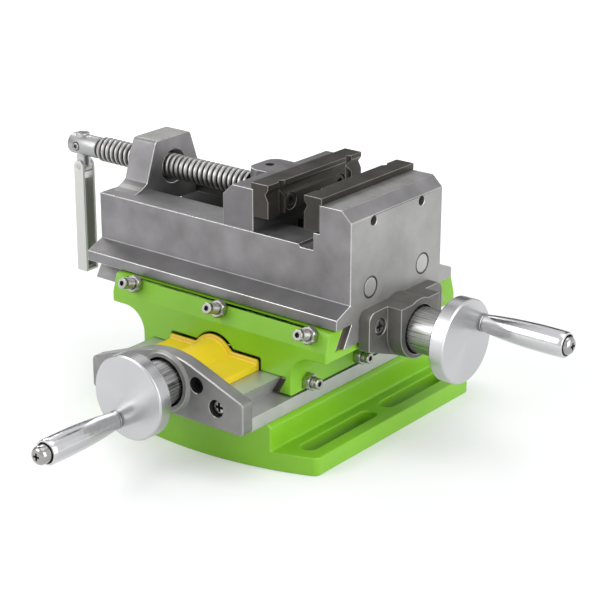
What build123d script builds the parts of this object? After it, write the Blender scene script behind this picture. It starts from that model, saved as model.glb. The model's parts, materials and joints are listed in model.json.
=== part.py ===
from build123d import *
import os
from math import cos, radians, sin, tan

# Cross slide vise. Millimetres, +Z up.
# The origin is the middle of the base's underside, on the lower slide's centre line.
# X runs along the vise, with the fixed jaw and its handwheel at +X.
# Y runs along the lower slide, with the lower handwheel at -Y.

# Fits
slide_gap = 0.05
turn_gap = 0.05
bolt_gap = 0.25
collar_gap = 1.0
head_sink = 0.3

# Base casting
base_half_x = 76.0
base_side_y = 69.0
base_apex_y = 84.4
base_flange_t = 10.3
base_corner_r = 4.0
plinth_half_x = 52.3
plinth_top = 25.5
plinth_edge = 2.3
slot_x = 63.5
slot_w = 9.2
slot_length = 59.4
slot_bridge = 9.1
pocket_x = 19.5
pocket_y = 32.0
pocket_rib = 5.5
pocket_depth = 16.0
pocket_corner_r = 3.0
screw_boss_r = 8.0

# Dovetails
dovetail_angle = 60.0
way_half_x = 51.0
way_half_y = 90.7
way_flange_t = 7.7
way_root = 38.0
way_dovetail_h = 10.0
way_groove_half = 8.0
way_groove_depth = 8.5
body_root = 38.5
body_dovetail_h = 11.7

# Leadscrews and their nuts
lead_r = 5.0
lead_drop = 1.0
lead_rise = 1.3
lead_end_y = 70.0
lead_end_x = -62.0
lead_in_wheel = 6.0
trough_r = 6.0
thrust_ring_r = 7.2
thrust_ring_t = 4.6
nut_half_length = 12.0
lower_nut_half = 12.0
lower_nut_top = 53.5
upper_nut_half = 7.6
upper_nut_bottom = 56.0
upper_nut_top = 71.0
nut_clear = 0.9

# Lower end bracket
bracket_half_x = 51.5
bracket_t = 7.3
bracket_foot = 25.3
bracket_apex = 61.95
bracket_slope = 20.5
bracket_crown_r = 54.0
bracket_corner_r = 2.5
bracket_rim = 3.2
bracket_web_sink = 2.5
bracket_web_r = 1.5
bracket_boss_r = 17.0
bracket_wall = 2.5
bracket_screw_x = 34.0
bracket_screw_z = 36.2
bracket_hole_x = 22.5
bracket_hole_z = 44.8
bracket_hole_r = 2.6

# Handwheels and handles
collar_r = 12.2
wheel_r = 22.4
wheel_t = 8.6
wheel_edge = 0.8
lower_wheel_y = -126.0
upper_wheel_x = 118.9
handle_offset = 16.3
handle_washer_r = 4.9
handle_washer_t = 1.0
handle_root_r = 4.65
handle_end_r = 6.7
handle_length = 49.5
handle_lip_r = 0.8
handle_bore_gap = 0.1
handle_screw_r = 2.5
handle_recess_r = 5.6
handle_recess = 2.0
handle_head_r = 5.2
handle_head_h = 8.4
handle_head_dome = 2.4
lower_handle_angle = 239.0
upper_handle_angle = 21.4

# Chip cover over the lower leadscrew
cover_t = 2.0
cover_wing_top = 47.0
cover_half_x = 29.8
cover_hump_r = 11.4
cover_end_y = -59.0
cover_rim_t = 2.0
cover_rim_h = 2.3
cover_fit = 0.7
cover_channel = 36.0

# Saddle
saddle_y = -1.3
saddle_half_x = 50.7
saddle_half_y = 57.5
saddle_lift = 0.9
saddle_ridge = 62.6
saddle_ridge_r = 3.0
saddle_top = 72.8
saddle_top_half = 54.2
beam_half_x = 73.0
beam_bottom = 57.0
beam_cove_r = 13.0
keel_half = 10.5
keel_drop = 3.0
saddle_floor = 61.75

# Gibs with their screws and lock nuts
lower_gib_t = 3.8
upper_gib_t = 4.1
gib_relief = 0.4
gib_end_sink = 0.4
gib_screw_r = 3.0
gib_screw_out = 12.3
gib_screw_tip = 1.5
gib_nut_af = 10.0
gib_nut_t = 5.0
gib_nut_round = 1.06
upper_screw_pitch = 59.5
upper_screw_shift = 2.5
upper_screw_z = 69.8
lower_screw_pitch = 44.0
lower_screw_z = 38.5
upper_screw_in = 8.2
lower_screw_in = 4.8

# Vise body
body_min_x = -97.2
body_max_x = 74.8
body_half = 40.0
body_flange_half = 51.2
body_flange_t = 5.8
shoulder_top = 83.9
bed_z = 109.9
body_groove_half = 8.0
body_groove_top = 72.0
bed_slot_half = 18.3
bed_rail_t = 10.0
channel_half = 26.5
channel_h = 15.0
channel_end = 44.0

# Nut bracket for the spindle, cast on the body
arch_min_x = -95.0
arch_max_x = -78.3
arch_top = 136.4
arch_top_half = 14.2
arch_hip_half = 22.0
arch_hip_z = 114.1
arch_foot_half = 38.4
arch_round = 3.0
arch_bore_gap = 0.5
arch_mouth_r = 9.6
arch_mouth_depth = 3.0

# Fixed jaw, cast on the body
jaw_top = 132.9
jaw_half = 40.0
fixed_face_x = 55.0
ledge_x = 51.0
ledge_z = 117.8
fixed_bevel_x = 6.1
fixed_bevel_z = 5.7
notch_min_x = 41.4
notch_depth = 1.4
plug_y = 23.0
plug_z = 89.3
plug_r = 5.2
plug_ring = 0.3
plug_length = 8.0

# Jaw plates
plate_t = 10.0
plate_bottom = 118.6
plate_top = 136.6
plate_lip = 1.2
groove_top = 2.7
groove_apex = 5.3
groove_end = 8.9
groove_depth = 1.9
vee_from_end = 11.5
vee_half = 2.4
vee_depth = 1.9
plate_screw_y = 21.0
plate_screw_z = 124.1
plate_screw_r = 2.5
plate_head_r = 4.25
plate_head_h = 4.5
plate_screw_grip = 13.0

# Moving jaw
moving_face_x = 11.9
moving_back_x = -8.3
moving_bevel_x = 6.4
moving_bevel_z = 6.0
boss_tip_x = -16.4
boss_half = 12.0
boss_round = 7.0
boss_blend = 3.0
keeper_half_x = 15.0
keeper_half_y = 25.5
keeper_t = 8.0
keeper_screw_x = 8.0

# Spindle
spindle_z = 119.3
spindle_r = 7.1
spindle_head_x = -155.8
spindle_edge = 0.8
journal_r = 5.0
journal_length = 17.0
retainer_x = -9.2
retainer_r = 2.4
retainer_top = 129.9
retainer_groove_w = 5.2
retainer_groove_r = 3.6

# Folding lever
tongue_x = -148.5
tongue_r = 4.0
tongue_top = 127.7
tongue_flat = 6.3
pin_z = 106.5
pin_r = 1.5
lever_width = 9.7
lever_depth = 7.5
lever_wall = 1.5
lever_bottom = 42.7
lever_web_start = 9.0
set_screw_r = 2.5
set_screw_length = 3.0

# Screws that hold the pieces together
bolt_r = 3.0
bolt_head_r = 4.9
bolt_head_h = 5.0
way_bolt_length = 26.0
keeper_bolt_length = 16.0
small_bolt_r = 2.5
small_head_r = 4.4
small_head_h = 2.8
small_bolt_length = 14.0

# Upper end bracket
end_plate_half = 32.5
end_plate_t = 6.7
end_plate_rise = 15.5
end_plate_drop = 7.5
end_plate_slope = 20.0
end_plate_r = 5.0
end_boss_half = 17.0
end_boss_x = 90.3
end_boss_foot = 2.5
end_bore_depth = 4.8
end_screw_y = 22.6
end_screw_rise = 6.0
end_screw_sink = 3.6

# Levels and places that follow from the sizes above
lean = 1 / tan(radians(dovetail_angle))
fit_x = slide_gap / sin(radians(dovetail_angle))
way_shelf = plinth_top + way_flange_t
way_top = way_shelf + way_dovetail_h
lower_axis_z = way_top - lead_drop
way_groove_floor = way_top - way_groove_depth
saddle_bottom = way_shelf + saddle_lift
saddle_roof = way_top + slide_gap
saddle_front = saddle_y - saddle_half_y
body_bottom = saddle_floor + slide_gap
flange_bottom = body_bottom + body_dovetail_h
flange_top = flange_bottom + body_flange_t
upper_axis_z = body_bottom + lead_rise
bracket_face_y = -way_half_y - bracket_t
lower_seat_y = -way_half_y - bracket_wall
lower_wheel_back = lower_wheel_y + wheel_t
upper_seat_x = end_boss_x - end_bore_depth
upper_wheel_back = upper_wheel_x - wheel_t
keeper_top = bed_z - bed_rail_t - slide_gap
keeper_x = (moving_back_x + moving_face_x) / 2
boss_x = pocket_x + pocket_rib
boss_y = pocket_y + pocket_rib
slot_y = (slot_length + slot_bridge) / 2
centre = (Align.CENTER, Align.CENTER, Align.CENTER)
above = (Align.CENTER, Align.CENTER, Align.MIN)
below = (Align.CENTER, Align.CENTER, Align.MAX)


def facing_x(x, y=saddle_y, z=0.0):
    """A plane that faces +X. Its own x is Y and its own y is Z."""
    return Plane(origin=(x, y, z), x_dir=(0, 1, 0), z_dir=(1, 0, 0))


def facing_front(y, x=0.0, z=0.0):
    """A plane that faces -Y. Its own x is X and its own y is Z."""
    return Plane(origin=(x, y, z), x_dir=(1, 0, 0), z_dir=(0, -1, 0))


def facing_down(z, x=0.0, y=0.0):
    """A plane that faces down."""
    return Plane(origin=(x, y, z), x_dir=(1, 0, 0), z_dir=(0, 0, -1))


def save(piece, name):
    """Name a finished piece and write it."""
    piece.part.label = name
    export_step(piece.part, f"parts/{name}.step")


def head_screw(head_r, head_h, shank_r, length):
    """A screw with its head above z = 0 and its shank below."""
    with BuildPart() as made:
        Cylinder(head_r, head_h, align=above)
        chamfer(made.edges().sort_by(Axis.Z)[-1], head_h / 10)
        Cylinder(shank_r, length, align=below)
        chamfer(made.edges().sort_by(Axis.Z)[0], shank_r / 5)
    return made.part


def gib_stud(depth):
    """A gib screw along z: depth below the casting's face, with a tapered tip."""
    with BuildPart() as made:
        with Locations((0, 0, -depth)):
            Cylinder(gib_screw_r, depth + gib_screw_out, align=above)
        chamfer(made.edges().sort_by(Axis.Z)[0], gib_screw_tip)
        chamfer(made.edges().sort_by(Axis.Z)[-1], gib_screw_r / 6)
    return made.part


def lock_nut():
    """A hexagon nut on z = 0, its corners rounded off."""
    with BuildPart() as made:
        with BuildSketch():
            RegularPolygon(gib_nut_af / 2, 6, major_radius=False)
        extrude(amount=gib_nut_t)
        with BuildPart(mode=Mode.INTERSECT):
            Cylinder(gib_nut_af / 2 * gib_nut_round * gib_nut_round, gib_nut_t, align=above)
            chamfer(edges().group_by(Axis.Z)[-1], gib_nut_t / 10)
        Cylinder(gib_screw_r + turn_gap, 2 * gib_nut_t, mode=Mode.SUBTRACT)
    return made.part


def female_dovetail(root, root_z, deep_z, gib_t, gib_side):
    """The slot of a sliding piece, from the mating shelf to its deep face, with room for a gib."""
    deep = root + abs(deep_z - root_z) * lean + fit_x
    near = root + fit_x
    plus = gib_t if gib_side > 0 else 0
    minus = gib_t if gib_side < 0 else 0
    with BuildSketch() as slot:
        with BuildLine():
            Polyline(
                (-near - minus, root_z),
                (near + plus, root_z),
                (deep + plus, deep_z),
                (-deep - minus, deep_z),
                close=True,
            )
        make_face()
    return slot.sketch


def gib_section(root, root_z, deep_z, gib_t, side):
    """A gib strip's end: a parallelogram that lies against the male dovetail."""
    turn = 1 if deep_z > root_z else -1
    low = root_z + turn * gib_relief
    high = deep_z - turn * gib_relief
    low_in = root + abs(low - root_z) * lean + fit_x
    high_in = root + abs(high - root_z) * lean + fit_x
    wide = gib_t - fit_x
    with BuildSketch() as strip:
        with BuildLine():
            Polyline(
                (side * low_in, low),
                (side * (low_in + wide), low),
                (side * (high_in + wide), high),
                (side * high_in, high),
                close=True,
            )
        make_face()
    return strip.sketch


def hood_section(half, wing_top, hump_r):
    """A flat hood on the way with a round hump over the leadscrew."""
    with BuildSketch() as hood:
        with Locations((0, saddle_roof)):
            Rectangle(2 * half, wing_top - saddle_roof, align=(Align.CENTER, Align.MIN))
        with Locations((0, lower_axis_z)):
            Circle(hump_r)
        with Locations((0, saddle_roof)):
            Rectangle(4 * half, 4 * half, align=(Align.CENTER, Align.MAX), mode=Mode.SUBTRACT)
    return hood.sketch


def bracket_outline(inset):
    """The lower end bracket seen from the handwheel, smaller all round by inset."""
    half = bracket_half_x - inset
    foot = bracket_foot + inset
    apex = bracket_apex - inset / cos(radians(bracket_slope))
    side = apex - half * tan(radians(bracket_slope))
    with BuildSketch() as outline:
        with BuildLine():
            Polyline((-half, foot), (half, foot), (half, side), (0, apex), (-half, side), close=True)
        make_face()
        fillet(outline.vertices().sort_by(Axis.Y)[-1], bracket_crown_r - inset)
        corners = outline.vertices().group_by(Axis.X)
        fillet(corners[0] + corners[-1], bracket_corner_r)
    return outline.sketch


def plate_section(face_x, toward):
    """A jaw plate's end, built out from the jaw face in the direction toward."""
    front = face_x + toward * plate_t
    back = face_x - toward * plate_lip
    step = jaw_top + slide_gap
    with BuildSketch() as section:
        with BuildLine():
            Polyline(
                (face_x, plate_bottom),
                (front, plate_bottom),
                (front, plate_top - groove_end),
                (front - toward * groove_depth, plate_top - groove_apex),
                (front, plate_top - groove_top),
                (front, plate_top),
                (back, plate_top),
                (back, step),
                (face_x, step),
                close=True,
            )
        make_face()
    return section.sketch


def vee_plan(face_x, toward):
    """The two upright grooves of a jaw plate, seen from above."""
    front = face_x + toward * plate_t
    with BuildSketch() as vees:
        for side in (-1, 1):
            y = saddle_y + side * (jaw_half - vee_from_end)
            with BuildLine():
                Polyline(
                    (front + toward, y - vee_half * (1 + 1 / vee_depth)),
                    (front + toward, y + vee_half * (1 + 1 / vee_depth)),
                    (front - toward * vee_depth, y),
                    close=True,
                )
            make_face()
    return vees.sketch


os.makedirs("parts", exist_ok=True)

# Places of the fasteners
bolt_points = [(sx * boss_x, sy * boss_y) for sx in (-1, 1) for sy in (-1, 1)]
way_bolt_seats = [facing_down(bolt_head_h + head_sink, x, y) for x, y in bolt_points]
bracket_seat_y = bracket_face_y + bracket_web_sink + small_head_h
bracket_seats = [facing_front(bracket_seat_y, side * bracket_screw_x, bracket_screw_z) for side in (-1, 1)]
end_seat_x = body_max_x + end_plate_t - end_screw_sink
end_screw_z = upper_axis_z + end_screw_rise
end_seats = [facing_x(end_seat_x, saddle_y + side * end_screw_y, end_screw_z) for side in (-1, 1)]
plate_ys = [saddle_y + side * plate_screw_y for side in (-1, 1)]
fixed_seat_x = fixed_face_x - plate_t + plate_head_h + head_sink
moving_seat_x = moving_face_x + plate_t - plate_head_h - head_sink
moving_seats = [facing_x(moving_seat_x, y, plate_screw_z) for y in plate_ys]
fixed_seats = [
    Plane(origin=(fixed_seat_x, y, plate_screw_z), x_dir=(0, 1, 0), z_dir=(-1, 0, 0)) for y in plate_ys
]
plug_seats = [facing_x(body_max_x, saddle_y + side * plug_y, plug_z) for side in (-1, 1)]
keeper_seats = [
    facing_down(keeper_top - keeper_t, keeper_x + side * keeper_screw_x, saddle_y) for side in (-1, 1)
]
lower_gib_seats = [
    facing_x(saddle_half_x, saddle_y + step * lower_screw_pitch, lower_screw_z) for step in (-1, 0, 1)
]
face_lean = (saddle_half_y - saddle_top_half) / (saddle_top - saddle_ridge)
upper_nut_y = saddle_front + (upper_screw_z - saddle_ridge) * face_lean
upper_gib_seats = [
    Plane(
        origin=(upper_screw_shift + step * upper_screw_pitch, upper_nut_y, upper_screw_z),
        x_dir=(1, 0, 0),
        z_dir=(0, -1, face_lean),
    )
    for step in (-1, 0, 1)
]

# Base casting: a flanged plinth with bowed ends, bolt slots in line and ribbed pockets beneath
with BuildSketch() as base_plan:
    with BuildLine():
        near = ThreePointArc((-base_half_x, -base_side_y), (0, -base_apex_y), (base_half_x, -base_side_y))
        far = ThreePointArc((base_half_x, base_side_y), (0, base_apex_y), (-base_half_x, base_side_y))
        Line(near @ 1, far @ 0)
        Line(far @ 1, near @ 0)
    make_face()
    fillet(base_plan.vertices(), base_corner_r)

with BuildPart() as base_casting:
    with BuildSketch():
        add(base_plan.sketch)
    extrude(amount=base_flange_t)
    with BuildSketch():
        add(base_plan.sketch)
        Rectangle(2 * plinth_half_x, 3 * base_apex_y, mode=Mode.INTERSECT)
    extrude(amount=plinth_top)
    chamfer(base_casting.faces().sort_by(Axis.Z)[-1].edges().filter_by(Axis.Y), plinth_edge)
    with BuildSketch():
        with GridLocations(2 * slot_x, 2 * slot_y, 2, 2):
            SlotOverall(slot_length, slot_w, rotation=90)
    extrude(amount=base_flange_t, mode=Mode.SUBTRACT)
    with BuildSketch():
        with GridLocations(pocket_x + pocket_rib, pocket_y + pocket_rib, 4, 4):
            RectangleRounded(pocket_x, pocket_y, pocket_corner_r)
        with Locations(*bolt_points):
            Circle(screw_boss_r, mode=Mode.SUBTRACT)
    extrude(amount=pocket_depth, mode=Mode.SUBTRACT)
    with Locations(*way_bolt_seats):
        Cylinder(bolt_r + bolt_gap, plinth_top, align=below, mode=Mode.SUBTRACT)
        Cylinder(bolt_head_r + bolt_gap, bolt_head_h + head_sink, align=above, mode=Mode.SUBTRACT)
save(base_casting, "base_casting")

# Lower way: a flat flange and a dovetail, grooved along the top for the leadscrew
way_wide = way_root + way_dovetail_h * lean
with BuildPart() as lower_way:
    with BuildSketch(facing_front(way_half_y)):
        with BuildLine():
            Polyline(
                (-way_half_x, plinth_top),
                (way_half_x, plinth_top),
                (way_half_x, way_shelf),
                (way_root, way_shelf),
                (way_wide, way_top),
                (way_groove_half, way_top),
                (way_groove_half, way_groove_floor),
                (-way_groove_half, way_groove_floor),
                (-way_groove_half, way_top),
                (-way_wide, way_top),
                (-way_root, way_shelf),
                (-way_half_x, way_shelf),
                close=True,
            )
        make_face()
    extrude(amount=2 * way_half_y)
    with Locations(*way_bolt_seats):
        Cylinder(bolt_r + turn_gap, way_bolt_length, align=below, mode=Mode.SUBTRACT)
    with Locations(*bracket_seats):
        Cylinder(small_bolt_r + turn_gap, small_bolt_length, align=below, mode=Mode.SUBTRACT)
save(lower_way, "lower_way")

way_bolt = head_screw(bolt_head_r, bolt_head_h, bolt_r, way_bolt_length - slide_gap)
with BuildPart() as way_screws:
    with Locations(*way_bolt_seats):
        add(way_bolt)
save(way_screws, "way_screws")

# Lower end bracket: a crowned plate with a bearing boss between two sunk webs
rim_outline = bracket_outline(0)
web_outline = bracket_outline(bracket_rim)
with BuildPart() as lower_end_bracket:
    with BuildSketch(facing_front(-way_half_y)):
        add(rim_outline)
    extrude(amount=bracket_t)
    with BuildSketch(facing_front(bracket_face_y)) as webs:
        add(web_outline)
        with Locations((0, lower_axis_z)):
            Circle(bracket_boss_r, mode=Mode.SUBTRACT)
    extrude(amount=-bracket_web_sink, mode=Mode.SUBTRACT)
    with Locations(facing_front(lower_seat_y, 0, lower_axis_z)):
        Cylinder(lead_r + turn_gap, 3 * bracket_t, mode=Mode.SUBTRACT)
        Cylinder(collar_r + collar_gap, bracket_t, align=above, mode=Mode.SUBTRACT)
    with Locations(*bracket_seats):
        Cylinder(small_bolt_r + bolt_gap, 3 * bracket_t, mode=Mode.SUBTRACT)
        Cylinder(small_head_r + bolt_gap, bracket_t, align=above, mode=Mode.SUBTRACT)
    with Locations(*[facing_front(bracket_face_y, side * bracket_hole_x, bracket_hole_z) for side in (-1, 1)]):
        Cylinder(bracket_hole_r, 3 * bracket_t, mode=Mode.SUBTRACT)
save(lower_end_bracket, "lower_end_bracket")

small_bolt = head_screw(small_head_r, small_head_h, small_bolt_r, small_bolt_length - slide_gap)
with BuildPart() as lower_bracket_screws:
    with Locations(*bracket_seats):
        add(small_bolt)
save(lower_bracket_screws, "lower_bracket_screws")

# Chip cover: a thin hood over the leadscrew with a raised rim at its inner end
hood = hood_section(cover_half_x, cover_wing_top, cover_hump_r)
hood_rim = hood_section(cover_half_x + slide_gap, cover_wing_top + cover_rim_h, cover_hump_r + cover_rim_h)
hood_inside = hood_section(cover_half_x - cover_t, cover_wing_top - cover_t, cover_hump_r - cover_t)
with BuildPart() as chip_cover:
    with BuildSketch(facing_front(cover_end_y)):
        add(hood)
    extrude(amount=way_half_y + cover_end_y)
    with BuildSketch(facing_front(cover_end_y)):
        add(hood_rim)
    extrude(amount=cover_rim_t)
    with BuildSketch(facing_front(cover_end_y)):
        add(hood_inside)
    extrude(amount=way_half_y, mode=Mode.SUBTRACT)
save(chip_cover, "chip_cover")

# Saddle casting: a block astride the way, and a longer beam across it that carries the vise
lower_slot = female_dovetail(way_root, way_shelf, saddle_roof, lower_gib_t, 1)
upper_slot = female_dovetail(body_root, flange_bottom, saddle_floor, upper_gib_t, -1)
channel = hood_section(
    cover_half_x + slide_gap + cover_fit,
    cover_wing_top + cover_rim_h + cover_fit,
    cover_hump_r + cover_rim_h + cover_fit,
)
with BuildPart() as saddle_casting:
    with BuildSketch(facing_x(-beam_half_x)) as saddle_side:
        with BuildLine():
            Polyline(
                (-saddle_half_y, saddle_bottom),
                (saddle_half_y, saddle_bottom),
                (saddle_half_y, saddle_ridge),
                (saddle_top_half, saddle_top),
                (-saddle_top_half, saddle_top),
                (-saddle_half_y, saddle_ridge),
                close=True,
            )
        make_face()
        fillet(saddle_side.vertices().group_by(Axis.Y)[1], saddle_ridge_r)
    extrude(amount=2 * beam_half_x)
    with BuildSketch(facing_front(saddle_y + saddle_half_y)):
        for side in (-1, 1):
            reach = saddle_half_x + beam_cove_r
            bend = beam_cove_r * (1 - cos(radians(45)))
            with BuildLine():
                Line((side * saddle_half_x, saddle_bottom), (side * saddle_half_x, beam_bottom - beam_cove_r))
                ThreePointArc(
                    (side * saddle_half_x, beam_bottom - beam_cove_r),
                    (side * (saddle_half_x + bend), beam_bottom - bend),
                    (side * reach, beam_bottom),
                )
                Polyline(
                    (side * reach, beam_bottom),
                    (side * beam_half_x, beam_bottom),
                    (side * beam_half_x, saddle_bottom),
                    (side * saddle_half_x, saddle_bottom),
                )
            make_face()
    extrude(amount=2 * saddle_half_y, mode=Mode.SUBTRACT)
    with Locations((0, saddle_y, beam_bottom)):
        Box(2 * beam_half_x, 2 * keel_half, keel_drop, align=below)
    with BuildSketch(facing_front(saddle_y + saddle_half_y)):
        add(lower_slot)
    extrude(amount=2 * saddle_half_y, mode=Mode.SUBTRACT)
    with BuildSketch(facing_x(-beam_half_x)):
        add(upper_slot)
    extrude(amount=2 * beam_half_x, mode=Mode.SUBTRACT)
    with BuildSketch(facing_front(saddle_front)):
        add(channel)
    extrude(amount=-cover_channel, mode=Mode.SUBTRACT)
    with Locations(facing_front(saddle_y, 0, lower_axis_z)):
        Cylinder(trough_r, 2 * saddle_half_y, mode=Mode.SUBTRACT)
    with Locations(facing_x(0, saddle_y, upper_axis_z)):
        Cylinder(trough_r, 2 * beam_half_x, mode=Mode.SUBTRACT)
    with Locations((0, saddle_y, saddle_roof)):
        Box(
            2 * (lower_nut_half + slide_gap),
            2 * (nut_half_length + slide_gap),
            lower_nut_top + slide_gap - saddle_roof,
            align=above,
            mode=Mode.SUBTRACT,
        )
    with Locations((0, saddle_y, upper_nut_bottom)):
        Box(
            2 * (nut_half_length + slide_gap),
            2 * (upper_nut_half + slide_gap),
            saddle_floor - upper_nut_bottom,
            align=above,
            mode=Mode.SUBTRACT,
        )
    with Locations(*lower_gib_seats, *upper_gib_seats):
        Cylinder(gib_screw_r + turn_gap, 2 * gib_nut_af, mode=Mode.SUBTRACT)
save(saddle_casting, "saddle_casting")

# Gibs: strips that take up the play of both slides
lower_strip = gib_section(way_root, way_shelf, saddle_roof, lower_gib_t, 1)
with BuildPart() as lower_gib:
    with BuildSketch(facing_front(saddle_y + saddle_half_y - gib_end_sink)):
        add(lower_strip)
    extrude(amount=2 * (saddle_half_y - gib_end_sink))
save(lower_gib, "lower_gib")

upper_strip = gib_section(body_root, flange_bottom, saddle_floor, upper_gib_t, -1)
with BuildPart() as upper_gib:
    with BuildSketch(facing_x(-beam_half_x + gib_end_sink)):
        add(upper_strip)
    extrude(amount=2 * (beam_half_x - gib_end_sink))
save(upper_gib, "upper_gib")

lower_stud = gib_stud(lower_screw_in)
with BuildPart() as lower_gib_screws:
    with Locations(*lower_gib_seats):
        add(lower_stud)
save(lower_gib_screws, "lower_gib_screws")

upper_stud = gib_stud(upper_screw_in)
with BuildPart() as upper_gib_screws:
    with Locations(*upper_gib_seats):
        add(upper_stud)
save(upper_gib_screws, "upper_gib_screws")

nut_shape = lock_nut()
with BuildPart() as lower_gib_nuts:
    with Locations(*lower_gib_seats):
        add(nut_shape)
save(lower_gib_nuts, "lower_gib_nuts")

with BuildPart() as upper_gib_nuts:
    with Locations(*upper_gib_seats):
        add(nut_shape)
save(upper_gib_nuts, "upper_gib_nuts")

# Leadscrew nuts: blocks let into the saddle
with BuildPart() as lower_screw_nut:
    with Locations((0, saddle_y, saddle_roof)):
        Box(2 * lower_nut_half, 2 * nut_half_length, lower_nut_top - saddle_roof, align=above)
    with Locations((0, saddle_y, way_groove_floor + nut_clear)):
        Box(
            2 * (way_groove_half - nut_clear),
            2 * nut_half_length,
            saddle_roof - way_groove_floor - nut_clear,
            align=above,
        )
    with Locations(facing_front(saddle_y, 0, lower_axis_z)):
        Cylinder(lead_r + turn_gap, 3 * nut_half_length, mode=Mode.SUBTRACT)
save(lower_screw_nut, "lower_screw_nut")

with BuildPart() as upper_screw_nut:
    with Locations((0, saddle_y, upper_nut_bottom)):
        Box(2 * nut_half_length, 2 * upper_nut_half, upper_nut_top - upper_nut_bottom, align=above)
    with Locations(facing_x(0, saddle_y, upper_axis_z)):
        Cylinder(lead_r + turn_gap, 3 * nut_half_length, mode=Mode.SUBTRACT)
save(upper_screw_nut, "upper_screw_nut")

# Leadscrews with their thrust rings, collars and handwheels
with BuildPart() as lower_leadscrew:
    with BuildSketch(facing_front(lead_end_y, 0, lower_axis_z)):
        Circle(lead_r)
    extrude(amount=lead_end_y - lower_wheel_back + lead_in_wheel)
    chamfer(lower_leadscrew.edges().sort_by(Axis.Y)[-1], lead_r / 5)
save(lower_leadscrew, "lower_leadscrew")

with BuildPart() as upper_leadscrew:
    with BuildSketch(facing_x(lead_end_x, saddle_y, upper_axis_z)):
        Circle(lead_r)
    extrude(amount=upper_wheel_back - lead_end_x + lead_in_wheel)
    chamfer(upper_leadscrew.edges().sort_by(Axis.X)[0], lead_r / 5)
save(upper_leadscrew, "upper_leadscrew")

with BuildPart() as lower_thrust_ring:
    with BuildSketch(facing_front(-way_half_y + slide_gap, 0, lower_axis_z)):
        Circle(thrust_ring_r)
        Circle(lead_r + turn_gap, mode=Mode.SUBTRACT)
    extrude(amount=-thrust_ring_t)
save(lower_thrust_ring, "lower_thrust_ring")

with BuildPart() as upper_thrust_ring:
    with BuildSketch(facing_x(body_max_x + slide_gap, saddle_y, upper_axis_z)):
        Circle(thrust_ring_r)
        Circle(lead_r + turn_gap, mode=Mode.SUBTRACT)
    extrude(amount=thrust_ring_t)
save(upper_thrust_ring, "upper_thrust_ring")

with BuildPart() as lower_collar:
    with BuildSketch(facing_front(lower_seat_y - slide_gap, 0, lower_axis_z)):
        Circle(collar_r)
        Circle(lead_r + turn_gap, mode=Mode.SUBTRACT)
    extrude(amount=lower_seat_y - slide_gap - lower_wheel_back)
save(lower_collar, "lower_collar")

with BuildPart() as upper_collar:
    with BuildSketch(facing_x(upper_seat_x + slide_gap, saddle_y, upper_axis_z)):
        Circle(collar_r)
        Circle(lead_r + turn_gap, mode=Mode.SUBTRACT)
    extrude(amount=upper_wheel_back - upper_seat_x - slide_gap)
save(upper_collar, "upper_collar")

lower_wheel_seat = facing_front(lower_wheel_back, 0, lower_axis_z)
lower_pin_x = handle_offset * cos(radians(lower_handle_angle))
lower_pin_z = lower_axis_z + handle_offset * sin(radians(lower_handle_angle))
lower_pin_seat = facing_front(lower_wheel_y, lower_pin_x, lower_pin_z)
with BuildPart() as lower_handwheel:
    with Locations(lower_wheel_seat):
        Cylinder(wheel_r, wheel_t, align=above)
    chamfer(lower_handwheel.edges(), wheel_edge)
    with Locations(lower_wheel_seat):
        Cylinder(lead_r + turn_gap, 2 * lead_in_wheel, mode=Mode.SUBTRACT)
    with Locations(lower_pin_seat):
        Cylinder(handle_screw_r + turn_gap, wheel_t, mode=Mode.SUBTRACT)
save(lower_handwheel, "lower_handwheel")

upper_wheel_seat = facing_x(upper_wheel_back, saddle_y, upper_axis_z)
upper_pin_y = saddle_y + handle_offset * cos(radians(upper_handle_angle))
upper_pin_z = upper_axis_z + handle_offset * sin(radians(upper_handle_angle))
upper_pin_seat = facing_x(upper_wheel_x, upper_pin_y, upper_pin_z)
with BuildPart() as upper_handwheel:
    with Locations(upper_wheel_seat):
        Cylinder(wheel_r, wheel_t, align=above)
    chamfer(upper_handwheel.edges(), wheel_edge)
    with Locations(upper_wheel_seat):
        Cylinder(lead_r + turn_gap, 2 * lead_in_wheel, mode=Mode.SUBTRACT)
    with Locations(upper_pin_seat):
        Cylinder(handle_screw_r + turn_gap, wheel_t, mode=Mode.SUBTRACT)
save(upper_handwheel, "upper_handwheel")

# Handles: tapered grips that turn on their screws, over a small washer
with BuildPart() as grip_shape:
    with Locations((0, 0, handle_washer_t + slide_gap)):
        Cone(handle_root_r, handle_end_r, handle_length - handle_washer_t - slide_gap, align=above)
    fillet(grip_shape.edges().sort_by(Axis.Z)[-1], handle_lip_r)
    Cylinder(handle_screw_r + handle_bore_gap, 3 * handle_length, mode=Mode.SUBTRACT)
    with Locations((0, 0, handle_length)):
        Cylinder(handle_recess_r, 2 * handle_recess, mode=Mode.SUBTRACT)

handle_seat = handle_length - handle_recess
with BuildPart() as grip_screw_shape:
    with Locations((0, 0, -wheel_t / 2 + slide_gap)):
        Cylinder(handle_screw_r, handle_seat + wheel_t / 2, align=above)
    with Locations((0, 0, handle_seat + slide_gap)):
        Cylinder(handle_head_r, handle_head_h, align=above)
    fillet(grip_screw_shape.edges().sort_by(Axis.Z)[-1], handle_head_dome)
    Cylinder(handle_washer_r, handle_washer_t, align=above)

with BuildPart() as lower_handle:
    with Locations(lower_pin_seat):
        add(grip_shape.part)
save(lower_handle, "lower_handle")

with BuildPart() as upper_handle:
    with Locations(upper_pin_seat):
        add(grip_shape.part)
save(upper_handle, "upper_handle")

with BuildPart() as lower_handle_screw:
    with Locations(lower_pin_seat):
        add(grip_screw_shape.part)
save(lower_handle_screw, "lower_handle_screw")

with BuildPart() as upper_handle_screw:
    with Locations(upper_pin_seat):
        add(grip_screw_shape.part)
save(upper_handle_screw, "upper_handle_screw")

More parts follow.
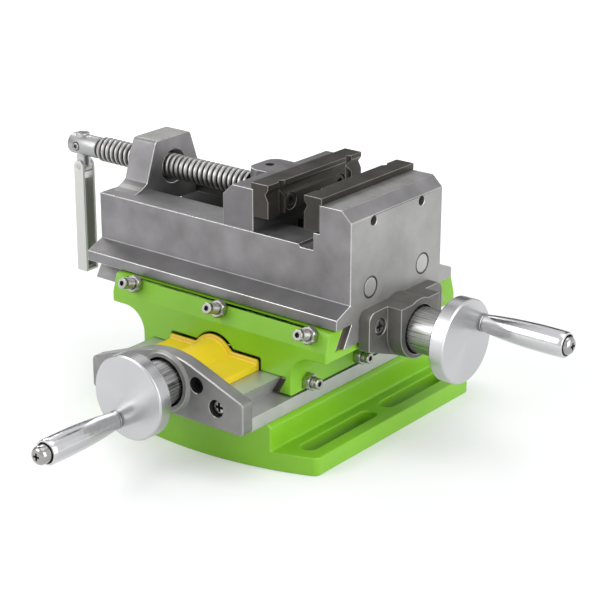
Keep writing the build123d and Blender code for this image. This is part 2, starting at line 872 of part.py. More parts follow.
# Vise body casting: dovetail slide, bed, fixed jaw and the nut bracket in one piece
body_deep = body_root + body_dovetail_h * lean
with BuildPart() as vise_body:
    with BuildSketch(facing_x(body_min_x)):
        with BuildLine():
            Polyline(
                (-body_deep, body_bottom),
                (body_deep, body_bottom),
                (body_root, flange_bottom),
                (body_flange_half, flange_bottom),
                (body_flange_half, flange_top),
                (body_half, shoulder_top),
                (body_half, bed_z),
                (-body_half, bed_z),
                (-body_half, shoulder_top),
                (-body_flange_half, flange_top),
                (-body_flange_half, flange_bottom),
                (-body_root, flange_bottom),
                close=True,
            )
        make_face()
    extrude(amount=body_max_x - body_min_x)
    with BuildSketch(facing_front(saddle_y + jaw_half)):
        with BuildLine():
            Polyline(
                (ledge_x, bed_z - notch_depth),
                (ledge_x, ledge_z),
                (fixed_face_x, ledge_z),
                (fixed_face_x, jaw_top),
                (body_max_x - fixed_bevel_x, jaw_top),
                (body_max_x, jaw_top - fixed_bevel_z),
                (body_max_x, bed_z - notch_depth),
                close=True,
            )
        make_face()
    extrude(amount=2 * jaw_half)
    with BuildSketch(facing_x(arch_min_x)) as arch:
        flare_x = (arch_foot_half - arch_hip_half) / 3
        flare_z = (arch_hip_z - bed_z) / 3
        for side in (-1, 1):
            with BuildLine():
                Polyline(
                    (0, bed_z - 1),
                    (side * arch_foot_half, bed_z - 1),
                    (side * arch_foot_half, bed_z),
                )
                ThreePointArc(
                    (side * arch_foot_half, bed_z),
                    (side * (arch_hip_half + flare_x), bed_z + flare_z),
                    (side * arch_hip_half, arch_hip_z),
                )
                Polyline(
                    (side * arch_hip_half, arch_hip_z),
                    (side * arch_top_half, arch_top),
                    (0, arch_top),
                    (0, bed_z - 1),
                )
            make_face()
        fillet(arch.vertices().group_by(Axis.Y)[-1].filter_by(lambda v: abs(v.X) > 1), arch_round)
    extrude(amount=arch_max_x - arch_min_x)
    with Locations(facing_x(arch_max_x, saddle_y, spindle_z)):
        Cylinder(spindle_r + arch_bore_gap, 3 * (arch_max_x - arch_min_x), mode=Mode.SUBTRACT)
        Cone(
            spindle_r + arch_bore_gap,
            arch_mouth_r,
            arch_mouth_depth,
            align=below,
            mode=Mode.SUBTRACT,
        )
    with BuildSketch(Plane.XY.offset(bed_z)):
        with Locations(((arch_max_x + notch_min_x) / 2, saddle_y)):
            Rectangle(notch_min_x - arch_max_x, 2 * bed_slot_half)
    extrude(amount=-bed_rail_t, mode=Mode.SUBTRACT)
    with BuildSketch(Plane.XY.offset(bed_z - bed_rail_t)):
        with Locations(((body_min_x + channel_end) / 2, saddle_y)):
            Rectangle(channel_end - body_min_x, 2 * channel_half)
    extrude(amount=-channel_h, mode=Mode.SUBTRACT)
    with BuildSketch(Plane.XY.offset(body_bottom)):
        with Locations(((body_min_x + body_max_x) / 2, saddle_y)):
            Rectangle(body_max_x - body_min_x, 2 * body_groove_half)
    extrude(amount=body_groove_top - body_bottom, mode=Mode.SUBTRACT)
    with BuildSketch(Plane.XY.offset(body_groove_top)):
        with Locations(((arch_max_x + channel_end) / 2, saddle_y)):
            Rectangle(channel_end - arch_max_x, 2 * body_groove_half)
    extrude(amount=bed_z - bed_rail_t - channel_h - body_groove_top, mode=Mode.SUBTRACT)
    with BuildSketch(facing_front(saddle_y + jaw_half)):
        with BuildLine():
            Polyline(
                (notch_min_x, bed_z),
                (notch_min_x + notch_depth, bed_z - notch_depth),
                (ledge_x, bed_z - notch_depth),
                (ledge_x, bed_z),
                close=True,
            )
        make_face()
    extrude(amount=2 * jaw_half, mode=Mode.SUBTRACT)
    with Locations(*[facing_x(body_max_x, y, plate_screw_z) for y in plate_ys]):
        Cylinder(plate_screw_r + turn_gap, body_max_x - fixed_face_x, align=below, mode=Mode.SUBTRACT)
    with Locations(*plug_seats):
        Cylinder(plug_r + plug_ring, plug_length, align=below, mode=Mode.SUBTRACT)
    with Locations(*end_seats):
        Cylinder(small_bolt_r + turn_gap, small_bolt_length, align=below, mode=Mode.SUBTRACT)
save(vise_body, "vise_body")

with BuildPart() as body_plugs:
    with Locations(*plug_seats):
        Cylinder(plug_r, plug_length, align=below)
save(body_plugs, "body_plugs")

# Upper end bracket: a plate on the body's end with a raised bearing block
with BuildSketch() as end_outline:
    low = end_plate_drop + end_plate_half * tan(radians(end_plate_slope))
    with BuildLine():
        Polyline(
            (-end_plate_half, -end_plate_drop),
            (0, -low),
            (end_plate_half, -end_plate_drop),
            (end_plate_half, end_plate_rise),
            (-end_plate_half, end_plate_rise),
            close=True,
        )
    make_face()
    fillet(end_outline.vertices().group_by(Axis.Y)[-1], end_plate_r)
    Circle(end_boss_half)

with BuildSketch() as end_block:
    Rectangle(2 * end_boss_half, end_plate_rise, align=(Align.CENTER, Align.MIN))
    Circle(end_boss_half)

with BuildPart() as upper_end_bracket:
    with BuildSketch(facing_x(body_max_x, saddle_y, upper_axis_z)):
        add(end_outline.sketch)
    extrude(amount=end_plate_t)
    with BuildSketch(facing_x(body_max_x, saddle_y, upper_axis_z)):
        add(end_block.sketch)
    extrude(amount=end_boss_x - body_max_x)
    with Locations(facing_x(body_max_x, saddle_y, upper_axis_z)):
        Cylinder(thrust_ring_r + collar_gap / 2, 2 * (thrust_ring_t + 2 * slide_gap), mode=Mode.SUBTRACT)
        Cylinder(lead_r + turn_gap, 3 * end_boss_half, mode=Mode.SUBTRACT)
    with Locations(facing_x(upper_seat_x, saddle_y, upper_axis_z)):
        Cylinder(collar_r + collar_gap, end_boss_half, align=above, mode=Mode.SUBTRACT)
    with Locations(*end_seats):
        Cylinder(small_bolt_r + bolt_gap, 3 * end_plate_t, mode=Mode.SUBTRACT)
        Cylinder(small_head_r + bolt_gap, end_plate_t, align=above, mode=Mode.SUBTRACT)
save(upper_end_bracket, "upper_end_bracket")

with BuildPart() as upper_bracket_screws:
    with Locations(*end_seats):
        add(small_bolt)
save(upper_bracket_screws, "upper_bracket_screws")

# Jaw plates: hardened faces with one level groove and two upright grooves
fixed_section = plate_section(fixed_face_x, -1)
fixed_vees = vee_plan(fixed_face_x, -1)
with BuildPart() as fixed_jaw_plate:
    with BuildSketch(facing_front(saddle_y + jaw_half)):
        add(fixed_section)
    extrude(amount=2 * jaw_half)
    with BuildSketch(Plane.XY.offset(plate_bottom)):
        add(fixed_vees)
    extrude(amount=plate_top - plate_bottom, mode=Mode.SUBTRACT)
    with Locations(*fixed_seats):
        Cylinder(plate_screw_r + bolt_gap, 3 * plate_t, mode=Mode.SUBTRACT)
        Cylinder(plate_head_r + bolt_gap, plate_t, align=above, mode=Mode.SUBTRACT)
save(fixed_jaw_plate, "fixed_jaw_plate")

moving_section = plate_section(moving_face_x, 1)
moving_vees = vee_plan(moving_face_x, 1)
with BuildPart() as moving_jaw_plate:
    with BuildSketch(facing_front(saddle_y + jaw_half)):
        add(moving_section)
    extrude(amount=2 * jaw_half)
    with BuildSketch(Plane.XY.offset(plate_bottom)):
        add(moving_vees)
    extrude(amount=plate_top - plate_bottom, mode=Mode.SUBTRACT)
    with Locations(*moving_seats):
        Cylinder(plate_screw_r + bolt_gap, 3 * plate_t, mode=Mode.SUBTRACT)
        Cylinder(plate_head_r + bolt_gap, plate_t, align=above, mode=Mode.SUBTRACT)
save(moving_jaw_plate, "moving_jaw_plate")

plate_screw = head_screw(plate_head_r, plate_head_h, plate_screw_r, plate_screw_grip - slide_gap)
with BuildPart() as fixed_plate_screws:
    with Locations(*fixed_seats):
        add(plate_screw)
save(fixed_plate_screws, "fixed_plate_screws")

with BuildPart() as moving_plate_screws:
    with Locations(*moving_seats):
        add(plate_screw)
save(moving_plate_screws, "moving_plate_screws")

# Moving jaw: a block on the bed with a rounded spindle boss behind and a tongue in the bed slot
with BuildPart() as moving_jaw:
    with BuildSketch(facing_front(saddle_y + jaw_half)):
        with BuildLine():
            Polyline(
                (moving_back_x, bed_z + slide_gap),
                (moving_face_x, bed_z + slide_gap),
                (moving_face_x, jaw_top),
                (moving_back_x + moving_bevel_x, jaw_top),
                (moving_back_x, jaw_top - moving_bevel_z),
                close=True,
            )
        make_face()
    extrude(amount=2 * jaw_half)
    with BuildSketch(Plane.XY.offset(bed_z + slide_gap)) as boss_plan:
        with Locations((boss_tip_x, saddle_y)):
            Rectangle(
                moving_face_x - boss_tip_x, 2 * boss_half, align=(Align.MIN, Align.CENTER)
            )
        fillet(boss_plan.vertices().group_by(Axis.X)[0], boss_round)
    extrude(amount=jaw_top - bed_z - slide_gap)
    with Locations((keeper_x, saddle_y, bed_z + slide_gap)):
        Box(
            moving_face_x - moving_back_x,
            2 * (bed_slot_half - slide_gap),
            bed_rail_t + 2 * slide_gap,
            align=below,
        )
    with Locations(facing_x(boss_tip_x, saddle_y, spindle_z)):
        Cylinder(journal_r + turn_gap, journal_length + slide_gap, align=above, mode=Mode.SUBTRACT)
    with Locations((retainer_x, saddle_y, spindle_z)):
        Cylinder(retainer_r + turn_gap, plate_top - spindle_z, align=above, mode=Mode.SUBTRACT)
    with Locations(*moving_seats):
        Cylinder(plate_screw_r + turn_gap, plate_screw_grip, align=below, mode=Mode.SUBTRACT)
    with Locations(*keeper_seats):
        Cylinder(bolt_r + turn_gap, keeper_bolt_length, align=below, mode=Mode.SUBTRACT)
save(moving_jaw, "moving_jaw")

with BuildPart() as keeper:
    with Locations((keeper_x, saddle_y, keeper_top)):
        Box(2 * keeper_half_x, 2 * keeper_half_y, keeper_t, align=below)
    with Locations(*keeper_seats):
        Cylinder(bolt_r + bolt_gap, 3 * keeper_t, mode=Mode.SUBTRACT)
save(keeper, "keeper")

keeper_bolt = head_screw(bolt_head_r, bolt_head_h, bolt_r, keeper_bolt_length - slide_gap)
with BuildPart() as keeper_screws:
    with Locations(*keeper_seats):
        add(keeper_bolt)
save(keeper_screws, "keeper_screws")

with BuildPart() as spindle_retainer:
    with Locations((retainer_x, saddle_y, spindle_z + retainer_groove_r + 2 * slide_gap)):
        Cylinder(
            retainer_r,
            retainer_top - spindle_z - retainer_groove_r - 2 * slide_gap,
            align=above,
        )
save(spindle_retainer, "spindle_retainer")

# Spindle: a threaded bar with a grooved journal in the jaw and a cross hole in its plain head
with BuildPart() as spindle:
    with BuildSketch(facing_x(spindle_head_x, saddle_y, spindle_z)):
        Circle(spindle_r)
    extrude(amount=boss_tip_x - slide_gap - spindle_head_x)
    chamfer(spindle.edges().sort_by(Axis.X)[0], spindle_edge)
    with BuildSketch(facing_x(boss_tip_x - slide_gap, saddle_y, spindle_z)):
        Circle(journal_r)
    extrude(amount=journal_length)
    with BuildSketch(facing_x(retainer_x - retainer_groove_w / 2, saddle_y, spindle_z)):
        Circle(spindle_r)
        Circle(retainer_groove_r, mode=Mode.SUBTRACT)
    extrude(amount=retainer_groove_w, mode=Mode.SUBTRACT)
    with Locations((tongue_x, saddle_y, spindle_z)):
        Cylinder(tongue_r + turn_gap, 3 * spindle_r, mode=Mode.SUBTRACT)
    with Locations(facing_front(saddle_y, tongue_x, spindle_z)):
        Cylinder(set_screw_r + turn_gap, 2 * spindle_r, align=above, mode=Mode.SUBTRACT)
save(spindle, "spindle")

with BuildPart() as spindle_set_screw:
    with Locations(facing_front(saddle_y - tongue_r - slide_gap, tongue_x, spindle_z)):
        Cylinder(set_screw_r, set_screw_length, align=above)
save(spindle_set_screw, "spindle_set_screw")

# Tongue: a rod through the spindle's head, flattened at its lower end for the lever
with BuildPart() as tongue:
    with Locations((tongue_x, saddle_y, tongue_top)):
        Cylinder(tongue_r, tongue_top - pin_z, align=below)
    with Locations(facing_front(saddle_y, tongue_x, pin_z)):
        Cylinder(tongue_r, tongue_flat)
    with BuildSketch(Plane.XY.offset(pin_z - tongue_r)):
        for side in (-1, 1):
            with Locations((tongue_x, saddle_y + side * (tongue_flat / 2 + tongue_r / 2))):
                Rectangle(3 * tongue_r, tongue_r)
    extrude(amount=2 * tongue_r + set_screw_r, mode=Mode.SUBTRACT)
    with Locations(facing_front(saddle_y, tongue_x, pin_z)):
        Cylinder(pin_r + turn_gap, 2 * tongue_flat, mode=Mode.SUBTRACT)
save(tongue, "tongue")

with BuildPart() as lever_pin:
    with Locations(facing_front(saddle_y, tongue_x, pin_z)):
        Cylinder(pin_r, lever_width)
save(lever_pin, "lever_pin")

# Folding lever: a channel of sheet whose two cheeks hold the pin
with BuildPart() as folding_lever:
    with BuildSketch(facing_front(saddle_y + lever_width / 2)):
        with Locations((tongue_x, pin_z)):
            Circle(lever_depth / 2)
        with Locations((tongue_x, lever_bottom)):
            Rectangle(lever_depth, pin_z - lever_bottom, align=(Align.CENTER, Align.MIN))
    extrude(amount=lever_width)
    with Locations((tongue_x + lever_wall, saddle_y, lever_bottom + lever_wall)):
        Box(
            lever_depth,
            lever_width - 2 * lever_wall,
            2 * (pin_z - lever_bottom),
            align=above,
            mode=Mode.SUBTRACT,
        )
    with Locations((tongue_x, saddle_y, pin_z - lever_web_start)):
        Box(
            2 * lever_depth,
            lever_width - 2 * lever_wall,
            2 * (pin_z - lever_bottom),
            align=above,
            mode=Mode.SUBTRACT,
        )
    with Locations(facing_front(saddle_y, tongue_x, pin_z)):
        Cylinder(pin_r + turn_gap, 2 * lever_width, mode=Mode.SUBTRACT)
save(folding_lever, "folding_lever")
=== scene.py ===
import json
import math

import bmesh
import bpy
from mathutils import Matrix, Vector
from mathutils.geometry import tessellate_polygon

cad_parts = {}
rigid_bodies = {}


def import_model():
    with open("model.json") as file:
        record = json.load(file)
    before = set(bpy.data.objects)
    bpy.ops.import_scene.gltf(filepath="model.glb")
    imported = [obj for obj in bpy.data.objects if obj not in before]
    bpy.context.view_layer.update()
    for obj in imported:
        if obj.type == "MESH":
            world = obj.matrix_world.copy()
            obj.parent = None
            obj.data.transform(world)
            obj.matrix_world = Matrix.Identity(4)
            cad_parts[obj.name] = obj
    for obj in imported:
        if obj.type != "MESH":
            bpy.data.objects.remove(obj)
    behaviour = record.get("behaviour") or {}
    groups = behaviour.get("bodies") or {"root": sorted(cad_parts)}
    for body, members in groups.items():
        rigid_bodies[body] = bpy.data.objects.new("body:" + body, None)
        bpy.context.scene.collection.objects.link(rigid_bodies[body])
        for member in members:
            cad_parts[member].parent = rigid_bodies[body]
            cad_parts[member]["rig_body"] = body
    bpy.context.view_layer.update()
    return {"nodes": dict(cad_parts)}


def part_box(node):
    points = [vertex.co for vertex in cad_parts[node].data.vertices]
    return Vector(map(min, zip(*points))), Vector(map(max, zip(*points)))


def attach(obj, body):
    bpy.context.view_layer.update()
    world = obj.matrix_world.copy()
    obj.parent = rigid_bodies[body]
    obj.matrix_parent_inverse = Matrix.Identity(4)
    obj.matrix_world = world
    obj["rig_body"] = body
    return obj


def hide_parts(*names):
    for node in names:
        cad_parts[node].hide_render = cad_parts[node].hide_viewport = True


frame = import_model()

MM = 0.001

# Camera, solved from the photograph's straight edges
CAMERA_AT = (586.4 * MM, -734.6 * MM, 414.4 * MM)
CAMERA_TURN = 38.1
CAMERA_TILT = 20.8
CAMERA_ROLL = 0.17
FOCAL_PIXELS = 1843
PHOTO_PIXELS = 600
SENSOR = 36.0
CAMERA_CLIP = (0.01, 50)

# Light
WORLD_LIGHT = 0.42
SKY_TINT = (0.96, 0.98, 1.0, 1)
FLOOR_REACH = 6.0
FLOOR_TONE = 0.8
FLOOR_GLOW_NEAR = 0.18
FLOOR_GLOW_FAR = 0.70
FLOOR_NEAR = 0.28
FLOOR_FAR = 1.0
LAMP_AIM = (0, 0, 0.06)
LAMPS = (
    ("key", (-0.7, -1.1, 0.9), 0.9, 11),
    ("top", (0.2, 0.2, 1.6), 1.0, 4),
    ("right", (1.3, -0.1, 0.5), 1.3, 16),
    ("rim", (-1.0, 0.45, 0.9), 0.6, 8),
)
CARD_AIM = (0, 0, 0.1)
CARDS = (
    ("back_card", (-0.75, 0.95, 0.42), 2.2, 0.75, 0.10),
    ("left_card", (-1.5, -0.5, 0.35), 0.5, 0.8, 0.08),
    ("upper_strip", (-0.75, 0.10, 0.98), 0.9, 0.5, 0.03),
    ("lower_strip", (-0.05, 0.96, 0.94), 0.3, 0.7, 0.03),
)

# Materials
NOISE_DARK = 0.3
NOISE_LIGHT = 0.7
STREAK_DARK = 0.62

# Sides of turned pieces
RING_SIDES = 48
TURNED_SIDES = 64
WHEEL_SIDES = 192
HANDLE_SIDES = 128
BOSS_SIDES = 96
THREAD_SIDES = 32
GIB_THREAD_SIDES = 24
DOME_STEPS = 5

# Places that the solids share, in millimetres
VISE_Y = -1.3
LOWER_AXIS_Z = 42.2
UPPER_AXIS_Z = 63.1
SPINDLE_Z = 119.3

# Threads
THREAD_FORM = ((0.0, 0.0), (0.22, 0.0), (0.38, 0.8), (0.48, 1.0), (0.74, 1.0), (0.86, 0.8))
THREAD_ROOT_SINK = 0.3
SPINDLE_R = 7.1
SPINDLE_CUT = 1.6
SPINDLE_PITCH = 3.5
SPINDLE_HEAD_R = 6.2
SPINDLE_HEAD_LENGTH = 21.2
SPINDLE_HEAD_FORM = (
    (-0.9, 0), (-0.3, 0.3), (0, 0.9), (0, SPINDLE_HEAD_LENGTH - 0.3), (-0.4, SPINDLE_HEAD_LENGTH + 0.6),
)
SPINDLE_THREAD_END = -17.4
JOURNAL_R = 5.0
TONGUE_TOP_DROP = 1.4
SET_SCREW_R = 2.1
SET_SCREW_TOP_R = 1.8
SET_SCREW_PROUD = 0.5
SET_SCREW_SOCKET = (1.25, 0.46)
SET_RIM_R = 2.6
SET_RIM_BORE_R = 2.2
SET_RIM_PROUD = 0.02
LEAD_R = 5.0
LEAD_CUT = 1.0
LEAD_PITCH = 3.0
LEAD_PLAIN = 50.0
LEAD_END = 0.1

# Handwheels, handles and screws
WHEEL_R = 22.4
WHEEL_EDGE = 0.7
HANDLE_ROOT_R = 4.65
HANDLE_BELLY = (6.5, 22.0)
HANDLE_END_R = 6.7
HANDLE_LENGTH = 49.5
HANDLE_CUP_R = 5.6
HANDLE_CUP_DEPTH = 1.9
HANDLE_FOOT = 1.05
HANDLE_FOOT_EDGE = 0.4
HANDLE_LIP = 0.8
HANDLE_LIP_EDGE = 0.25
HANDLE_ENDS = 1.2
HANDLE_WASHER = ((4.9, 0.05), (4.9, 0.7), (4.6, 1.0))
HANDLE_STEPS = 20
HEAD_R = 4.9
HEAD_DOME = 2.7
HEAD_TOP_R = 2.2
HEAD_SINK = 1.95
HEAD_CROSS = (2.0, 1.6)
LOWER_HEAD_H = 8.0
UPPER_HEAD_H = 4.8
CROSS_ARM = 0.3
RECESS_TAPER = 0.85
GIB_SCREW_R = 3.0
GIB_CORE_IN = 0.2
GIB_CHAMFER = 0.3
GIB_END_BAND = 0.6
GIB_SOCKET = (1.35, 1.6)
GIB_NUT_AF = 8.6
GIB_NUT_T = 4.2
GIB_NUT_SEAT = 2.5
GIB_THREAD_LOW = GIB_NUT_T - 0.8
GIB_THREAD_END = 0.4
NUT_CAPS = ((0.05, 1.02), (0.45, 1.16), (GIB_NUT_T - 0.5, 1.16), (GIB_NUT_T, 0.99))
NUT_MOUTH = ((GIB_SCREW_R + 0.15, GIB_NUT_T), (GIB_SCREW_R + 0.1, GIB_NUT_T - 0.6))
LOWER_SCREW_OUT = 8.3
UPPER_SCREW_OUT = 12.3
UPPER_SCREW_IN = 8.2
LOWER_SCREW_IN = 4.8
FACE_LEAN = 3.3 / 10.2
SMALL_HEAD_R = 4.4
SMALL_HEAD_H = 2.8
SMALL_HEAD_DOME = 1.4
SMALL_HEAD_TOP_R = 2.9
SMALL_CROSS = (2.5, 1.7)
SHANK_R = 2.4
CAP_HEAD_R = 4.25
CAP_HEAD_H = 4.5
CAP_EDGE = 0.4
CAP_SOCKET = (2.0, 2.4)

# Lower end bracket
BRACKET_BEVEL = 0.6
BRACKET_BOSS_R = 17.0
BRACKET_BOSS_FACE_R = 15.5
BRACKET_BOSS_OUT = 1.6
BRACKET_BORE_R = 13.2
BRACKET_WALL = 2.5
BOSS_EDGE = 0.3
BOSS_FOOT = 0.4
BOSS_FACE_EDGE = (0.1, 0.2)
HEAD_GAP = 0.25
HOLE_EDGE = 0.25
BLIND_HOLE_R = 4.37
BLIND_HOLE_X = 21.1
BLIND_HOLE_Z = 45.5
BLIND_HOLE_DEPTH = 6.5

# Upper end bracket
END_BOSS_R = 17.0
END_BOSS_SQUEEZE = 0.918
END_PLATE_DROP = 7.5
END_PLATE_LIFT = 2.33
END_REACH = 0.1

# Retainer's hole in the moving jaw
RETAINER_X = -9.2
RETAINER_HOLE_REACH = 2.8
RETAINER_HOLE_FLOOR = 128.0

# Chip cover
COVER_HALF_X = 29.8
COVER_WING_TOP = 47.0
COVER_FOOT = 43.3
COVER_HUMP_R = 11.4
COVER_WALL = 2.0
COVER_RIM_H = 2.3
COVER_STEPS = 72
COVER_CORNER = 1.0
COVER_CORNER_EDGE = 0.3
COVER_FILLET = 2.2
COVER_INSIDE = 0.93
COVER_RIM_FROM = 3
COVER_RIM = (
    (-2.9, 0.0), (-2.3, 0.15), (-2.0, 0.6), (-1.85, 1.4), (-1.65, 2.0), (-1.3, COVER_RIM_H),
    (-0.4, COVER_RIM_H), (-0.1, 2.1), (0.0, 1.7),
)

# Edges of the solids
WELD_REACH = 0.01 * MM
FLAT_ANGLE = 1.0
EDGE_ANGLE = 32.0
SHARP_ANGLE = 38.0
PIECE_SHARP_ANGLE = 35
WHEEL_SHARP_ANGLE = 25
WIDE_SHARP_ANGLE = 40

# The body's bed
BED_Z = 109.9
BED_SLOT_FLOOR = 82.0
BED_CHANNEL_HALF = 27.0
BODY_END_X = 60.0
BED_SLOT_X = (-97.0, 45.0)
SLOPE_UP = 0.3
FLAT_UP = 0.9

# Joint lines round the plugs in the body's end
PLUG_LINE_H = 0.04
PLUG_LINE = ((-0.1, 0.0), (-0.05, PLUG_LINE_H), (0.75, PLUG_LINE_H), (0.8, 0.0))


def placed(name, data):
    """A new object in the scene."""
    made = bpy.data.objects.new(name, data)
    bpy.context.scene.collection.objects.link(made)
    return made


def sheet(name, x, y):
    """A flat sheet that reaches x and y from its middle."""
    mesh = bpy.data.meshes.new(name)
    mesh.from_pydata([(-x, -y, 0), (x, -y, 0), (x, y, 0), (-x, y, 0)], [], [(0, 1, 2, 3)])
    return placed(name, mesh)


def bare_tree(owner, kind):
    """The tree of a material or world with an output node alone, and that node."""
    owner.use_nodes = True
    owner.node_tree.nodes.clear()
    return owner.node_tree, owner.node_tree.nodes.new("ShaderNodeOutput" + kind)


def glow_node(tree, kind, color, strength=1.0):
    """A background or an emission."""
    glow = tree.nodes.new("ShaderNode" + kind)
    glow.inputs["Color"].default_value = color
    glow.inputs["Strength"].default_value = strength
    return glow


def add_camera():
    """A camera at the photograph's place and angle."""
    data = bpy.data.cameras.new("photo_camera")
    data.sensor_width = SENSOR
    data.lens = FOCAL_PIXELS * SENSOR / PHOTO_PIXELS
    data.clip_start, data.clip_end = CAMERA_CLIP
    camera = placed("photo_camera", data)
    camera.location = CAMERA_AT
    look = Matrix.Rotation(math.radians(CAMERA_TURN), 4, "Z")
    look @= Matrix.Rotation(math.radians(90 - CAMERA_TILT), 4, "X")
    look @= Matrix.Rotation(math.radians(CAMERA_ROLL), 4, "Z")
    camera.rotation_euler = look.to_euler()
    bpy.context.scene.camera = camera


def area_light(name, place, size, power):
    """A soft square lamp at place that faces the vise."""
    data = bpy.data.lights.new(name, "AREA")
    data.shape = "SQUARE"
    data.size = size
    data.energy = power
    lamp = placed(name, data)
    lamp.location = place
    lamp.rotation_euler = (Vector(LAMP_AIM) - Vector(place)).to_track_quat("-Z", "Y").to_euler()


def see_through_rays(tree):
    """1 for a camera, glossy or transmission ray, 0 for the rest."""
    rays = tree.nodes.new("ShaderNodeLightPath")
    seen = rays.outputs["Is Camera Ray"]
    for kind in ("Is Glossy Ray", "Is Transmission Ray"):
        either = tree.nodes.new("ShaderNodeMath")
        either.operation = "MAXIMUM"
        tree.links.new(seen, either.inputs[0])
        tree.links.new(rays.outputs[kind], either.inputs[1])
        seen = either.outputs[0]
    return seen


def show_by_ray(tree, out, plain, seen):
    """Plain as the surface, but seen for the rays that a picture shows."""
    mix = tree.nodes.new("ShaderNodeMixShader")
    tree.links.new(see_through_rays(tree), mix.inputs[0])
    tree.links.new(plain.outputs[0], mix.inputs[1])
    tree.links.new(seen.outputs[0], mix.inputs[2])
    tree.links.new(mix.outputs[0], out.inputs["Surface"])


def light_world():
    """A white background, and a softer light from all round."""
    world = bpy.data.worlds.new("studio")
    bpy.context.scene.world = world
    tree, out = bare_tree(world, "World")
    lit = glow_node(tree, "Background", SKY_TINT, WORLD_LIGHT)
    white = glow_node(tree, "Background", (1, 1, 1, 1))
    show_by_ray(tree, out, lit, white)


def add_floor():
    """A pale floor that shows white where nothing shades it, also far from the lamps."""
    floor = sheet("floor", FLOOR_REACH, FLOOR_REACH)
    material = bpy.data.materials.new("floor")
    tree, out = bare_tree(material, "Material")
    plain = tree.nodes.new("ShaderNodeBsdfDiffuse")
    plain.inputs["Color"].default_value = (FLOOR_TONE, FLOOR_TONE, FLOOR_TONE, 1)
    glow = glow_node(tree, "Emission", (1, 1, 1, 1))
    spot = tree.nodes.new("ShaderNodeTexCoord")
    away = tree.nodes.new("ShaderNodeVectorMath")
    away.operation = "LENGTH"
    tree.links.new(spot.outputs["Object"], away.inputs[0])
    fade = tree.nodes.new("ShaderNodeMapRange")
    fade.inputs["From Min"].default_value = FLOOR_NEAR
    fade.inputs["From Max"].default_value = FLOOR_FAR
    fade.inputs["To Min"].default_value = FLOOR_GLOW_NEAR
    fade.inputs["To Max"].default_value = FLOOR_GLOW_FAR
    tree.links.new(away.outputs["Value"], fade.inputs["Value"])
    tree.links.new(fade.outputs[0], glow.inputs["Strength"])
    pale = tree.nodes.new("ShaderNodeAddShader")
    tree.links.new(plain.outputs[0], pale.inputs[0])
    tree.links.new(glow.outputs[0], pale.inputs[1])
    show_by_ray(tree, out, plain, pale)
    floor.data.materials.append(material)


def dark_card(name, place, width, height, tone):
    """A dark studio card that only reflections show."""
    card = sheet(name, width / 2, height / 2)
    card.location = place
    card.rotation_euler = (Vector(CARD_AIM) - Vector(place)).to_track_quat("Z", "Y").to_euler()
    material = bpy.data.materials.new(name)
    tree, out = bare_tree(material, "Material")
    glow = glow_node(tree, "Emission", (tone, tone, tone, 1))
    tree.links.new(glow.outputs[0], out.inputs["Surface"])
    card.data.materials.append(material)
    card.visible_camera = False
    card.visible_diffuse = False
    card.visible_shadow = False
    card.visible_transmission = False


def stretch_along(axis, value):
    """A scale of 1, but value along an axis."""
    return [value if i == "XYZ".index(axis) else 1 for i in range(3)]


